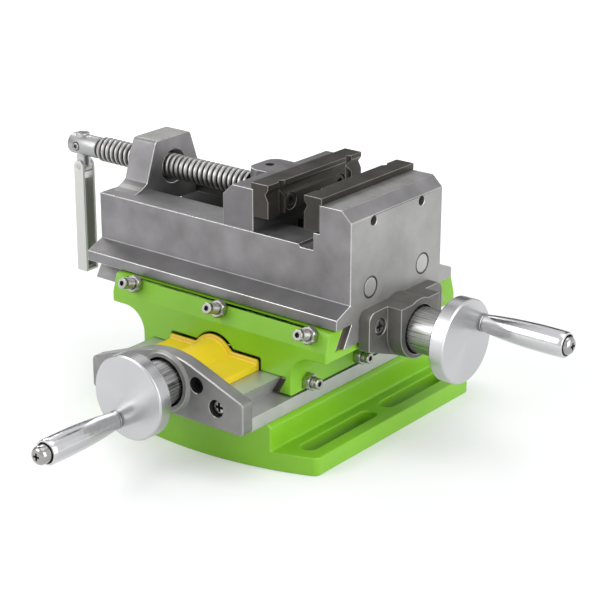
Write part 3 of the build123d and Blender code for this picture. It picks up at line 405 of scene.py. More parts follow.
class Recipe:
    """A material under construction: a Principled shader and helpers for its nodes."""

    def __init__(self, name, color, rough, metal=0.0, coat=0.0):
        self.material = bpy.data.materials.new(name)
        self.material.use_nodes = True
        self.tree = self.material.node_tree
        self.shader = self.tree.nodes["Principled BSDF"]
        self.shader.inputs["Base Color"].default_value = (*color, 1)
        self.shader.inputs["Roughness"].default_value = rough
        self.shader.inputs["Metallic"].default_value = metal
        self.shader.inputs["Coat Weight"].default_value = coat
        self.place = self.tree.nodes.new("ShaderNodeTexCoord").outputs["Object"]
        self.normal = None

    def link(self, source, target):
        self.tree.links.new(source, target)

    def noise(self, scale, detail=3.0, stretch=(1, 1, 1)):
        """Noise over the object's own coordinates, scale in grains a metre."""
        mapping = self.tree.nodes.new("ShaderNodeMapping")
        mapping.inputs["Scale"].default_value = stretch
        self.link(self.place, mapping.inputs["Vector"])
        node = self.tree.nodes.new("ShaderNodeTexNoise")
        node.inputs["Scale"].default_value = scale
        node.inputs["Detail"].default_value = detail
        self.link(mapping.outputs[0], node.inputs["Vector"])
        return node.outputs["Fac"]

    def spread(self, source, low, high, dark=NOISE_DARK, light=NOISE_LIGHT):
        """A value between low and high, driven by noise or a distance."""
        node = self.tree.nodes.new("ShaderNodeMapRange")
        node.inputs["From Min"].default_value = dark
        node.inputs["From Max"].default_value = light
        node.inputs["To Min"].default_value = low
        node.inputs["To Max"].default_value = high
        self.link(source, node.inputs["Value"])
        return node.outputs[0]

    def tones(self, source, first, second, dark=NOISE_DARK, light=NOISE_LIGHT):
        """A colour between first and second, driven by noise or a distance."""
        ramp = self.tree.nodes.new("ShaderNodeValToRGB")
        ramp.color_ramp.elements[0].position = dark
        ramp.color_ramp.elements[0].color = (*first, 1)
        ramp.color_ramp.elements[1].position = light
        ramp.color_ramp.elements[1].color = (*second, 1)
        self.link(source, ramp.inputs[0])
        return ramp.outputs[0]

    def mottle(self, source, first, second, dark=NOISE_DARK, light=NOISE_LIGHT):
        """A colour that changes between first and second."""
        color = self.tones(source, first, second, dark, light)
        self.link(color, self.shader.inputs["Base Color"])

    def roughen(self, source, low, high):
        """A roughness that changes between low and high."""
        self.link(self.spread(source, low, high), self.shader.inputs["Roughness"])

    def bump(self, source, height, distance=0.0002):
        """Relief from noise, over the relief that is already there."""
        node = self.tree.nodes.new("ShaderNodeBump")
        node.inputs["Strength"].default_value = height
        node.inputs["Distance"].default_value = distance
        self.link(source, node.inputs["Height"])
        if self.normal is not None:
            self.link(self.normal, node.inputs["Normal"])
        self.normal = node.outputs[0]

    def round_edges(self, radius):
        """Edges that catch the light as if they were rounded."""
        node = self.tree.nodes.new("ShaderNodeBevel")
        node.samples = 6
        node.inputs["Radius"].default_value = radius
        self.normal = node.outputs[0]

    def vector(self, operation, source, value=(0, 0, 0)):
        """One vector operation on source and value."""
        node = self.tree.nodes.new("ShaderNodeVectorMath")
        node.operation = operation
        node.inputs[1].default_value = value
        self.link(source, node.inputs[0])
        return node

    def radial(self, axis, centre):
        """Distance from an axis through centre, in metres."""
        away = self.vector("SUBTRACT", self.place, centre)
        flat = self.vector("MULTIPLY", away.outputs[0], stretch_along(axis, 0))
        return self.vector("LENGTH", flat.outputs[0]).outputs["Value"]

    def along(self, axis):
        """Place along an axis, in metres."""
        parts = self.tree.nodes.new("ShaderNodeSeparateXYZ")
        self.link(self.place, parts.inputs[0])
        return parts.outputs["XYZ".index(axis)]

    def added(self, first, second):
        """Sum of two values."""
        node = self.tree.nodes.new("ShaderNodeMath")
        self.link(first, node.inputs[0])
        self.link(second, node.inputs[1])
        return node.outputs[0]

    def rings(self, distance, scale):
        """Fine rings from a distance."""
        node = self.tree.nodes.new("ShaderNodeTexNoise")
        node.noise_dimensions = "1D"
        node.inputs["Scale"].default_value = scale
        node.inputs["Detail"].default_value = 1
        self.link(distance, node.inputs["W"])
        return node.outputs["Fac"]

    def done(self):
        if self.normal is not None:
            self.link(self.normal, self.shader.inputs["Normal"])
        return self.material


def paint(name, dark, light):
    """Gloss paint on a casting, a little uneven in colour, gloss and surface."""
    made = Recipe(name, light, 0.3, coat=0.12)
    made.round_edges(0.7 * MM)
    made.mottle(made.noise(14), dark, light)
    made.roughen(made.noise(60), 0.28, 0.42)
    made.bump(made.noise(260, 2), 0.12)
    return made.done()


def iron(name, dark, light, rough=0.46, metal=0.7, grain=900, edge=0.5):
    """Cast or ground iron: mottled tone, fine grain and bright rounded edges."""
    made = Recipe(name, light, rough, metal)
    made.round_edges(edge * MM)
    made.mottle(made.noise(45, 5), dark, light)
    made.roughen(made.noise(120, 4), rough - 0.07, rough + 0.07)
    made.bump(made.noise(grain, 3), 0.22)
    return made.done()


def bright(name, color, rough, grain=1500, metal=1.0):
    """Bright steel of screws, nuts and rods."""
    made = Recipe(name, color, rough, metal)
    made.round_edges(0.25 * MM)
    made.roughen(made.noise(300, 3), rough - 0.05, rough + 0.08)
    made.bump(made.noise(grain, 2), 0.08)
    return made.done()


def turned(name, axis, centre, color, rough=0.24):
    """Turned aluminium: fine rings and a sheen that turns round the axis."""
    made = Recipe(name, color, rough, 1.0)
    made.round_edges(0.5 * MM)
    rings = made.rings(made.added(made.radial(axis, centre), made.along(axis)), 2200)
    made.roughen(rings, rough - 0.01, rough + 0.03)
    made.bump(rings, 0.006, 0.00006)
    tangent = made.tree.nodes.new("ShaderNodeTangent")
    tangent.direction_type = "RADIAL"
    tangent.axis = axis
    made.link(tangent.outputs[0], made.shader.inputs["Tangent"])
    made.shader.inputs["Anisotropic"].default_value = 0.75
    return made.done()


def streaked(name, axis, color, rough):
    """Bright metal with fine streaks along an axis."""
    made = Recipe(name, color, rough, 1.0)
    made.round_edges(0.3 * MM)
    grain = made.noise(2200, 2, stretch_along(axis, 0.02))
    made.roughen(grain, rough - 0.08, rough + 0.15)
    made.mottle(grain, [STREAK_DARK * c for c in color], color)
    made.bump(grain, 0.12, 0.00008)
    return made.done()


def plastic(name, dark, light):
    """Moulded plastic with a faint grain."""
    made = Recipe(name, light, 0.38)
    made.round_edges(0.4 * MM)
    made.mottle(made.noise(20), dark, light)
    made.bump(made.noise(700, 2), 0.08)
    return made.done()


def threaded(name, axis, centre, root, crest):
    """A steel thread, lighter on its crests and with painted shade in its root. root and crest are radii."""
    made = Recipe(name, (0.4, 0.4, 0.4), 0.3, 0.9)
    away = made.radial(axis, centre)
    rise = made.spread(away, 0, 1, root * MM, crest * MM)
    made.mottle(rise, (0.045, 0.043, 0.04), (0.42, 0.415, 0.41), 0.15, 0.95)
    made.roughen(made.noise(300, 3), 0.34, 0.46)
    made.bump(made.noise(1200, 2), 0.06)
    return made.done()


def flat_tone(name, color, rough, metal=0.0):
    """A flat dark colour for painted shade deep in a recess or gap, and for dark joint lines."""
    made = Recipe(name, color, rough, metal)
    made.roughen(made.noise(400), rough - 0.05, rough + 0.05)
    return made.done()


def both(part):
    """The lower and the upper slide's solid of this name."""
    return ["lower_" + part, "upper_" + part]


def dress(names, material):
    """Give one material to these solids."""
    for name in names:
        mesh = frame["nodes"][name].data
        mesh.materials.clear()
        mesh.materials.append(material)


def span(name):
    """Lowest and highest corner of a solid, in millimetres."""
    low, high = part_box(name)
    return low / MM, high / MM


def facing(point, toward):
    """A placing with its own z towards a direction."""
    return Matrix.Translation(point) @ Vector(toward).to_track_quat("Z", "Y").to_matrix().to_4x4()


def hexagon(turn):
    """Reach of a hexagon whose flats are 1 from its middle."""
    return 1 / math.cos((turn + math.pi / 6) % (math.pi / 3) - math.pi / 6)


def cross(turn):
    """Reach of a cross recess whose arms are 1 long."""
    fold = abs((turn + math.pi / 4) % (math.pi / 2) - math.pi / 4)
    return min(1 / math.cos(fold), CROSS_ARM / max(math.sin(fold), 0.001))


def round_outline(turn):
    """Reach of a circle."""
    return 1


def ring(radius, height, outline=round_outline, count=RING_SIDES):
    """Points of one level of a turned or hexagonal piece along z."""
    turns = [2 * math.pi * i / count for i in range(count)]
    return [
        Vector((radius * outline(t) * math.cos(t), radius * outline(t) * math.sin(t), height))
        for t in turns
    ]


def skin(rings, tone=0, first=True, last=True):
    """Points, faces and tones of a skin over rings of equal count, with flat ends."""
    count = len(rings[0])
    points = [point for row in rings for point in row]
    faces = []
    for row in range(len(rings) - 1):
        a = row * count
        b = a + count
        for i in range(count):
            j = (i + 1) % count
            faces.append((a + i, a + j, b + j, b + i))
    if first:
        faces.append(tuple(reversed(range(count))))
    if last:
        faces.append(tuple(range(len(points) - count, len(points))))
    return points, faces, [tone] * len(faces)


def joined(parts):
    """Several skins as one."""
    points, faces, tones = [], [], []
    for more_points, more_faces, more_tones in parts:
        start = len(points)
        points += more_points
        faces += [tuple(start + i for i in face) for face in more_faces]
        tones += more_tones
    return points, faces, tones


def moved(part, place):
    """A skin in another place."""
    return [place @ point for point in part[0]], part[1], part[2]


def copies(part, places):
    """The same skin at each of several places."""
    return joined([moved(part, place) for place in places])


def turned_skin(profile, count=TURNED_SIDES):
    """A turned solid along z from (radius, height) pairs, closed at both ends."""
    return skin([ring(radius, height, count=count) for radius, height in profile])


def recessed(profile, outline, recess, count=RING_SIDES):
    """A turned solid with a recess of that outline, size and depth in its top."""
    size, depth = recess
    shell = [ring(radius, height, count=count) for radius, height in profile]
    top = profile[-1][1]
    mouth = ring(size, top, outline, count)
    floor = ring(RECESS_TAPER * size, top - depth, outline, count)
    # The recess takes the second material, painted shade.
    return joined([skin(shell + [mouth], last=False), skin([mouth, floor], tone=1, first=False)])


def dome(start, end):
    """A quarter round from the (radius, height) start to end."""
    swing = [0.5 * math.pi * i / DOME_STEPS for i in range(DOME_STEPS + 1)]
    return [
        (
            end[0] + (start[0] - end[0]) * math.cos(t),
            start[1] + (end[1] - start[1]) * math.sin(t),
        )
        for t in swing
    ]


def thread_skin(outer, depth, pitch, low, high, count=THREAD_SIDES, cored=True):
    """A screw thread along z, with its core or without, as rows that follow the helix and fade out."""
    core = outer - depth
    turns = int((high - low) / pitch) - 1
    steps = [(turn + share, rise) for turn in range(turns) for share, rise in THREAD_FORM]
    points = []
    for start, rise in steps:
        for i in range(count):
            along = (start + i / count) * pitch
            fade = max(0, min(1, along / pitch, (high - low - along) / pitch))
            reach = core - THREAD_ROOT_SINK * (1 - fade) + depth * rise * fade
            turn = 2 * math.pi * i / count
            points.append(Vector((reach * math.cos(turn), reach * math.sin(turn), low + along)))
    faces = []
    lead = len(THREAD_FORM)
    for row in range(len(steps) - 1):
        for i in range(count):
            near = row * count + i
            if i + 1 < count:
                faces.append((near, near + 1, near + 1 + count, near + count))
            elif row + lead + 1 < len(steps):
                far = (row + lead) * count
                faces.append((near, far, far + count, near + count))
    helix = (points, faces, [0] * len(faces))
    if not cored:
        return helix
    core_r = core - THREAD_ROOT_SINK / 2
    return joined([turned_skin([(core_r, low), (core_r, high)], count), helix])


def add_piece(name, part, materials, body, nodes, sharp=PIECE_SHARP_ANGLE):
    """A piece of mesh that rides on a body and stands for solids."""
    points, faces, tones = part
    mesh = bpy.data.meshes.new(name)
    mesh.from_pydata([point * MM for point in points], [], faces)
    for material in materials:
        mesh.materials.append(material)
    mesh.polygons.foreach_set("material_index", [min(t, len(materials) - 1) for t in tones])
    mesh.polygons.foreach_set("use_smooth", [True] * len(faces))
    mesh.set_sharp_from_angle(angle=math.radians(sharp))
    piece = placed(name, mesh)
    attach(piece, body)
    if nodes:
        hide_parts(*nodes)


def finished(name, materials, edge, hollow=0.0, tone=None, shift=None, keep=None):
    """A solid with its outer edges broken and its inner corners filleted, as a piece that stands for it.

    materials are the plain one, the one of the broken edges, and any that tone picks for a face
    from its middle in millimetres and its normal. edge and hollow are the two widths. shift moves
    a corner, and keep says of an edge's middle that the edge stays as it is.
    """
    solid = frame["nodes"][name]
    work = bmesh.new()
    work.from_mesh(solid.data)
    bmesh.ops.remove_doubles(work, verts=work.verts, dist=WELD_REACH)
    bmesh.ops.dissolve_limit(
        work, angle_limit=math.radians(FLAT_ANGLE), verts=work.verts, edges=work.edges,
        use_dissolve_boundaries=False,
    )
    if shift:
        for corner in work.verts:
            corner.co = shift(corner.co / MM) * MM
    work.normal_update()
    for face in work.faces:
        face.material_index = tone(face.calc_center_median() / MM, face.normal) if tone else 0
    outer = sharp_edges(work, 1)
    if keep:
        outer = [line for line in outer if not keep((line.verts[0].co + line.verts[1].co) / 2 / MM)]
    # The broken edges take the second material, a lighter one that paints wear and a highlight.
    soften(work, outer, edge, 2, 1)
    if hollow:
        soften(work, sharp_edges(work, -1), hollow, 3, -1)
    mesh = bpy.data.meshes.new(name + "_finish")
    work.to_mesh(mesh)
    work.free()
    for material in materials:
        mesh.materials.append(material)
    mesh.polygons.foreach_set("use_smooth", [True] * len(mesh.polygons))
    mesh.set_sharp_from_angle(angle=math.radians(SHARP_ANGLE))
    piece = placed(name + "_finish", mesh)
    even = piece.modifiers.new("even", "WEIGHTED_NORMAL")
    even.keep_sharp = True
    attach(piece, solid["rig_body"])
    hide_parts(name)


def soften(work, edges, width, steps, material):
    """Round edges over a width in millimetres. Material -1 keeps the faces' own."""
    bmesh.ops.bevel(
        work, geom=edges, offset=width * MM, offset_type="OFFSET", segments=steps, profile=0.5,
        affect="EDGES", clamp_overlap=False, material=material, loop_slide=True,
    )


def sharp_edges(work, side):
    """Edges that turn by more than the edge angle: outer ones for side 1, inner ones for -1."""
    return [
        edge
        for edge in work.edges
        if len(edge.link_faces) == 2 and side * edge.calc_face_angle_signed(0) > math.radians(EDGE_ANGLE)
    ]


def body_light_and_shade_tone(middle, normal):
    """Vise body: painted shade on low tops and slopes and in the slot, painted light on high tops and the end
    face.
    """
    in_shaded_slot = abs(middle.y - VISE_Y) < BED_CHANNEL_HALF and BED_SLOT_X[0] < middle.x < BED_SLOT_X[1]
    if in_shaded_slot and BED_SLOT_FLOOR < middle.z < BED_Z - 0.5:
        return 3
    if normal.z > SLOPE_UP and middle.z < BED_Z + 1:
        return 2
    if normal.z > FLAT_UP or normal.x > FLAT_UP and middle.x > BODY_END_X:
        return 4
    return 0


def in_retainer_hole(point):
    """Whether a place lies in the retainer's hole in the moving jaw's top."""
    away = math.hypot(point.x - RETAINER_X, point.y - VISE_Y)
    return point.z > RETAINER_HOLE_FLOOR and away < RETAINER_HOLE_REACH


def jaw_hole_shade_tone(middle, normal):
    """Moving jaw: painted shade on the retainer hole's walls."""
    return 2 if in_retainer_hole(middle) and abs(normal.z) < 0.5 else 0


def end_bracket_shift(corner):
    """The upper end bracket's foot, cut shorter as in the photograph."""
    across = corner.y - VISE_Y
    drop = corner.z - UPPER_AXIS_Z
    reach = math.hypot(across, drop)
    if drop < 0 and abs(reach - END_BOSS_R) < END_REACH:
        drop *= END_BOSS_SQUEEZE
    elif drop < -END_PLATE_DROP + END_REACH and reach > END_BOSS_R:
        drop += END_PLATE_LIFT
    return Vector((corner.x, corner.y, UPPER_AXIS_Z + drop))


def tongue_shift(corner):
    """The tongue's top, lower as in the photograph."""
    return corner - Vector((0, 0, TONGUE_TOP_DROP)) if corner.z > SPINDLE_Z else corner


def add_spindle():
    """The spindle's plain head and thread, with the set screw in its end."""
    low, high = span("spindle")
    axis = facing((low.x, VISE_Y, SPINDLE_Z), (1, 0, 0))
    head = turned_skin([(SPINDLE_HEAD_R + out, at) for out, at in SPINDLE_HEAD_FORM])
    end = SPINDLE_THREAD_END - low.x
    thread = thread_skin(SPINDLE_R, SPINDLE_CUT, SPINDLE_PITCH, SPINDLE_HEAD_LENGTH, end)
    journal = turned_skin([(JOURNAL_R, end - 1), (JOURNAL_R, high.x - low.x)])
    thread = (thread[0], thread[1], [1] * len(thread[1]))
    add_piece(
        "spindle_thread", moved(joined([head, thread, journal]), axis), [head_steel, spindle_root_shade_steel],
        "screw_bar", ["spindle"],
    )
    low, high = span("spindle_set_screw")
    middle = (low + high) / 2
    seat = facing((middle.x, high.y, middle.z), (0, -1, 0))
    length = high.y - VISE_Y + SPINDLE_HEAD_R
    rim_top = length + SET_RIM_PROUD
    # The rim round the set screw takes the second material, painted shade.
    rim = skin(
        [ring(SET_RIM_R, 0), ring(SET_RIM_R, rim_top), ring(SET_RIM_BORE_R, rim_top)], tone=1, last=False,
    )
    screw = recessed(
        [
            (SET_SCREW_R, 0), (SET_SCREW_R, length + SET_SCREW_PROUD / 2),
            (SET_SCREW_TOP_R, length + SET_SCREW_PROUD),
        ],
        hexagon, SET_SCREW_SOCKET,
    )
    add_piece(
        "spindle_end_screw", moved(joined([rim, screw]), seat), [nickel, socket_painted_shade], "screw_bar",
        ["spindle_set_screw"],
    )


def add_leadscrews():
    """Both leadscrews with their threads."""
    plain = turned_skin([(LEAD_R, 0), (LEAD_R, LEAD_PLAIN), (LEAD_R - 1, LEAD_PLAIN + 1)])
    lower, upper = span("lower_leadscrew"), span("upper_leadscrew")
    for side, length, place in (
        ("lower", lower[1].y - lower[0].y, facing((0, lower[0].y, LOWER_AXIS_Z), (0, 1, 0))),
        ("upper", upper[1].x - upper[0].x, facing((upper[1].x, VISE_Y, UPPER_AXIS_Z), (-1, 0, 0))),
    ):
        thread = thread_skin(LEAD_R, LEAD_CUT, LEAD_PITCH, LEAD_PLAIN, length - LEAD_END)
        add_piece(
            side + "_leadscrew_thread", moved(joined([plain, thread]), place), [steel],
            side + "_screw", [side + "_leadscrew"],
        )


def wheel_skin(radius, thick):
    """A handwheel along z with both its edges bevelled."""
    return turned_skin(
        [
            (radius - WHEEL_EDGE, 0), (radius, WHEEL_EDGE), (radius, thick - WHEEL_EDGE),
            (radius - WHEEL_EDGE, thick), (radius - 3 * WHEEL_EDGE, thick),
        ],
        WHEEL_SIDES,
    )


def handle_skin(root, belly, end, length):
    """A turned handle along z, with a foot ring and a rounded lip round its recess."""
    foot = HANDLE_FOOT
    profile = [(root - 0.5, foot), (root, foot + HANDLE_FOOT_EDGE)]
    for i in range(1, HANDLE_STEPS):
        at = foot + HANDLE_FOOT_EDGE + (length - HANDLE_ENDS - foot) * i / HANDLE_STEPS
        share = [
            (at - belly[1]) * (at - length) / ((foot - belly[1]) * (foot - length)),
            (at - foot) * (at - length) / ((belly[1] - foot) * (belly[1] - length)),
            (at - foot) * (at - belly[1]) / ((length - foot) * (length - belly[1])),
        ]
        profile.append((root * share[0] + belly[0] * share[1] + end * share[2], at))
    profile += [
        (end, length - HANDLE_LIP), (end - HANDLE_LIP_EDGE, length - HANDLE_LIP_EDGE),
        (end - HANDLE_LIP, length),
    ]
    shell = [ring(radius, height, count=HANDLE_SIDES) for radius, height in profile]
    cup = [ring(HANDLE_CUP_R, length - depth, count=HANDLE_SIDES) for depth in (0, HANDLE_CUP_DEPTH)]
    # The cup takes the second material, painted shade.
    return joined([skin(shell + cup[:1], last=False), skin(cup, tone=1, first=False)])


def handle_screw_skin(length, head_h):
    """The handle's washer, and its domed cross-recess head standing out of the handle's end."""
    washer = turned_skin(HANDLE_WASHER)
    bottom = length - HEAD_SINK
    top = bottom + head_h
    shoulder = (HEAD_R, top - HEAD_DOME)
    head = [(HEAD_R, bottom), shoulder] + dome(shoulder, (HEAD_TOP_R, top))[1:]
    return joined([washer, recessed(head, cross, HEAD_CROSS, TURNED_SIDES)])


def add_wheel_set(side, face, seat, out, material, head_h):
    """Handwheel, handle and handle screw of one slide.

    face is the middle of the wheel's face, seat the handle's place on it, and out their direction.
    """
    wheel_low, wheel_high = span(side + "_handwheel")
    thick = min(wheel_high - wheel_low)
    back = Vector(face) - Vector(out) * thick
    add_piece(
        side + "_wheel", moved(wheel_skin(WHEEL_R, thick), facing(back, out)), [material],
        side + "_screw", [side + "_handwheel"], WHEEL_SHARP_ANGLE,
    )
    place = facing(seat, out)
    handle = handle_skin(HANDLE_ROOT_R, HANDLE_BELLY, HANDLE_END_R, HANDLE_LENGTH)
    add_piece(
        side + "_grip_body", moved(handle, place), [chrome, socket_painted_shade], side + "_grip",
        [side + "_handle"], WIDE_SHARP_ANGLE,
    )
    head = handle_screw_skin(HANDLE_LENGTH, head_h)
    add_piece(
        side + "_grip_head", moved(head, place), [head_nickel, socket_painted_shade], side + "_screw",
        [side + "_handle_screw"],
    )


def add_wheels():
    """Both slides' handwheels, handles and screws."""
    low, high = span("lower_handle")
    seat = ((low.x + high.x) / 2, span("lower_handwheel")[0].y, (low.z + high.z) / 2)
    add_wheel_set(
        "lower", (0, seat[1], LOWER_AXIS_Z), seat, (0, -1, 0), lower_turned, LOWER_HEAD_H,
    )
    low, high = span("upper_handle")
    seat = (span("upper_handwheel")[1].x, (low.y + high.y) / 2, (low.z + high.z) / 2)
    add_wheel_set(
        "upper", (seat[0], VISE_Y, UPPER_AXIS_Z), seat, (1, 0, 0), upper_turned, UPPER_HEAD_H,
    )


def rows(low, high, radius):
    """Middles of three equal screws along one line."""
    return low + radius, (low + high) / 2, high - radius


def gib_screw_skin(inside, out):
    """A gib screw along z: plain in the casting, threaded outside, with a hexagon socket in its end."""
    core = GIB_SCREW_R - GIB_CORE_IN
    body = recessed(
        [
            (GIB_SCREW_R - 0.5, -inside), (core, GIB_NUT_T), (core, out - GIB_END_BAND),
            (GIB_SCREW_R, out - GIB_END_BAND), (GIB_SCREW_R, out - GIB_CHAMFER),
            (GIB_SCREW_R - GIB_CHAMFER, out),
        ],
        hexagon, GIB_SOCKET,
    )
    thread = thread_skin(
        GIB_SCREW_R, GIB_CORE_IN, 1.0, GIB_THREAD_LOW, out - GIB_THREAD_END, GIB_THREAD_SIDES, False,
    )
    return joined([body, thread])


def nut_skin():
    """A hexagon nut along z with its corners turned off at both ends."""
    half = GIB_NUT_AF / 2
    rings = [ring(half, z, lambda turn, cap=cap: min(hexagon(turn), cap)) for z, cap in NUT_CAPS]
    mouth = [ring(radius, z) for radius, z in NUT_MOUTH]
    # The nut's mouth takes the second material, painted shade.
    return joined([skin(rings + mouth[:1], last=False), skin(mouth, tone=1, first=False)])


def add_gib_set(side, screw, places):
    """Screws and lock nuts at these places."""
    add_piece(
        side + "_gib_studs", copies(screw, places), [nickel, socket_painted_shade], "saddle",
        [side + "_gib_screws"],
    )
    add_piece(
        side + "_lock_nuts", copies(nut_skin(), places), [nickel, painted_shade_and_joint_dark], "saddle",
        [side + "_gib_nuts"],
    )


def add_gib_screws():
    """Three screws with lock nuts on each slide."""
    low, high = span("lower_gib_nuts")
    screws_low, screws_high = span("lower_gib_screws")
    places = [
        facing((low.x, y, (low.z + high.z) / 2), (1, 0, 0))
        for y in rows(screws_low.y, screws_high.y, GIB_SCREW_R)
    ]
    add_gib_set("lower", gib_screw_skin(LOWER_SCREW_IN, LOWER_SCREW_OUT), places)
    screws_low, screws_high = span("upper_gib_screws")
    low, high = span("upper_gib_nuts")
    out = Vector((0, -1, FACE_LEAN)).normalized()
    middle = (low + high) / 2
    seat = Vector((0, middle.y, middle.z)) - out * GIB_NUT_SEAT
    places = [facing(seat + Vector((x, 0, 0)), out) for x in rows(screws_low.x, screws_high.x, GIB_SCREW_R)]
    add_gib_set("upper", gib_screw_skin(UPPER_SCREW_IN, UPPER_SCREW_OUT), places)


def cross_screw_skin(head_h, length):
    """A pan-head screw along z with a cross recess, its head's top at 0."""
    shoulder = (SMALL_HEAD_R, -SMALL_HEAD_DOME)
    head = [(SHANK_R, -head_h - length), (SHANK_R, -head_h), (SMALL_HEAD_R, -head_h), shoulder]
    return recessed(head + dome(shoulder, (SMALL_HEAD_TOP_R, 0))[1:], cross, SMALL_CROSS, TURNED_SIDES)


def cap_screw_skin(length):
    """A socket head cap screw along z, its head's top at 0."""
    head = [
        (SHANK_R, -length), (SHANK_R, -CAP_HEAD_H), (CAP_HEAD_R, -CAP_HEAD_H), (CAP_HEAD_R, -CAP_EDGE),
        (CAP_HEAD_R - CAP_EDGE, 0),
    ]
    return recessed(head, hexagon, CAP_SOCKET)


def back_outline(name, back):
    """Outline of a plate at its back, as (x, z) pairs in millimetres, counter-clockwise from -Y."""
    work = bmesh.new()
    work.from_mesh(frame["nodes"][name].data)
    bmesh.ops.remove_doubles(work, verts=work.verts, dist=WELD_REACH)
    work.normal_update()
    near = {}
    for edge in work.edges:
        flat = all(abs(corner.co.y - back * MM) < WELD_REACH for corner in edge.verts)
        if flat and any(abs(face.normal.y) < 0.5 for face in edge.link_faces):
            for corner in edge.verts:
                near.setdefault(corner, []).append(edge.other_vert(corner))
    start = min(near, key=lambda corner: corner.co.x)
    path = [start, min(near[start], key=lambda corner: corner.co.z)]
    while True:
        onward = next(corner for corner in near[path[-1]] if corner != path[-2])
        if onward == start:
            break
        path.append(onward)
    points = [(corner.co.x / MM, corner.co.z / MM) for corner in path]
    work.free()
    return points


def inset(points, by):
    """An outline made smaller all round."""
    moved_in = []
    for i, (x, z) in enumerate(points):
        before = Vector((x - points[i - 1][0], z - points[i - 1][1])).normalized()
        after = points[(i + 1) % len(points)]
        after = Vector((after[0] - x, after[1] - z)).normalized()
        way = before + after
        way.normalize()
        half = max(way.dot(after), 0.5)
        moved_in.append((x - way.y * by / half, z + way.x * by / half))
    return moved_in


def level(points, y):
    """An outline of (x, z) pairs at one place along Y."""
    return [Vector((x, y, z)) for x, z in points]


def circle(x, z, radius, y, count=RING_SIDES):
    """A circle that faces -Y."""
    turns = [2 * math.pi * i / count for i in range(count)]
    return [Vector((x + radius * math.cos(t), y, z + radius * math.sin(t))) for t in turns]


def flat_face(loops, tone=0):
    """A flat face towards -Y inside the first loop and outside the others."""
    points = [point for loop in loops for point in loop]
    faces = []
    for a, b, c in tessellate_polygon(loops):
        toward = (points[b] - points[a]).cross(points[c] - points[a]).y
        faces.append((a, b, c) if toward < 0 else (a, c, b))
    return points, faces, [tone] * len(faces)


def boss_skin(profile, tone, last=False):
    """Rings round the lower leadscrew's axis from (radius, y) pairs."""
    rings = [circle(0, LOWER_AXIS_Z, radius, y, BOSS_SIDES) for radius, y in profile]
    return skin(rings, tone, False, last)


def add_lower_bracket():
    """The lower end bracket: a flat crowned plate with a raised bearing boss and two blind holes."""
    low, high = span("lower_end_bracket")
    outline = back_outline("lower_end_bracket", high.y)
    face = low.y
    boss = face - BRACKET_BOSS_OUT
    screws_low, screws_high = span("lower_bracket_screws")
    screw_z = (screws_low.z + screws_high.z) / 2
    screw_seat = screws_low.y + SMALL_HEAD_H - face
    front = inset(outline, BRACKET_BEVEL)
    foot_r = BRACKET_BOSS_R + BOSS_FOOT
    shoulder_r = BRACKET_BOSS_FACE_R + BOSS_EDGE
    shoulder_y = boss + BOSS_FACE_EDGE[1]
    rim_r = BRACKET_BOSS_FACE_R - BOSS_FACE_EDGE[0]
    mouth_r = BRACKET_BORE_R + BOSS_EDGE
    loops = [level(front, face), circle(0, LOWER_AXIS_Z, foot_r, face, BOSS_SIDES)]
    # Tone 1 on the bevel, the boss's shoulder and the hole mouths paints wear and a highlight; tone 2 in the
    # bore and the holes is painted shade.
    parts = [
        skin([level(outline, high.y), level(outline, face + BRACKET_BEVEL)], last=False),
        skin([level(outline, face + BRACKET_BEVEL), level(front, face)], 1, False, False),
        boss_skin([(foot_r, face), (BRACKET_BOSS_R, face - BOSS_EDGE), (shoulder_r, shoulder_y)], 0),
        boss_skin([(shoulder_r, shoulder_y), (rim_r, boss)], 1),
        boss_skin([(rim_r, boss), (mouth_r, boss)], 0),
        boss_skin(
            [
                (mouth_r, boss), (BRACKET_BORE_R, boss + BOSS_EDGE),
                (BRACKET_BORE_R, high.y - BRACKET_WALL),
            ],
            2, last=True,
        ),
    ]
    for side in (-1, 1):
        screw_x = side * (screws_high.x - SMALL_HEAD_R)
        hole_x = side * BLIND_HOLE_X
        for x, z, radius, depth in (
            (screw_x, screw_z, SMALL_HEAD_R + HEAD_GAP, screw_seat),
            (hole_x, BLIND_HOLE_Z, BLIND_HOLE_R, BLIND_HOLE_DEPTH),
        ):
            mouth = circle(x, z, radius + HOLE_EDGE, face)
            edge = circle(x, z, radius, face + HOLE_EDGE)
            loops.append(mouth)
            parts.append(skin([mouth, edge], 1, False, False))
            parts.append(skin([edge, circle(x, z, radius, face + depth)], 2, False))
    parts.append(flat_face(loops))
    add_piece(
        "lower_bracket_plate", joined(parts), [bracket_iron, worn_and_highlight_bracket, socket_painted_shade], "base",
        ["lower_end_bracket"],
    )


def smooth_top(first, second, blend):
    """The higher of two heights, with a fillet where they meet."""
    near = max(blend - abs(first - second), 0) / blend
    return max(first, second) + near * near * blend / 4


def cover_height(x, lift, wall):
    """Height of the cover at x, lift above its outside and wall below it."""
    wing = COVER_WING_TOP + lift - wall
    radius = COVER_HUMP_R + lift - wall
    hump = LOWER_AXIS_Z + math.sqrt(max(radius * radius - x * x, 0))
    return smooth_top(wing, hump, COVER_FILLET)


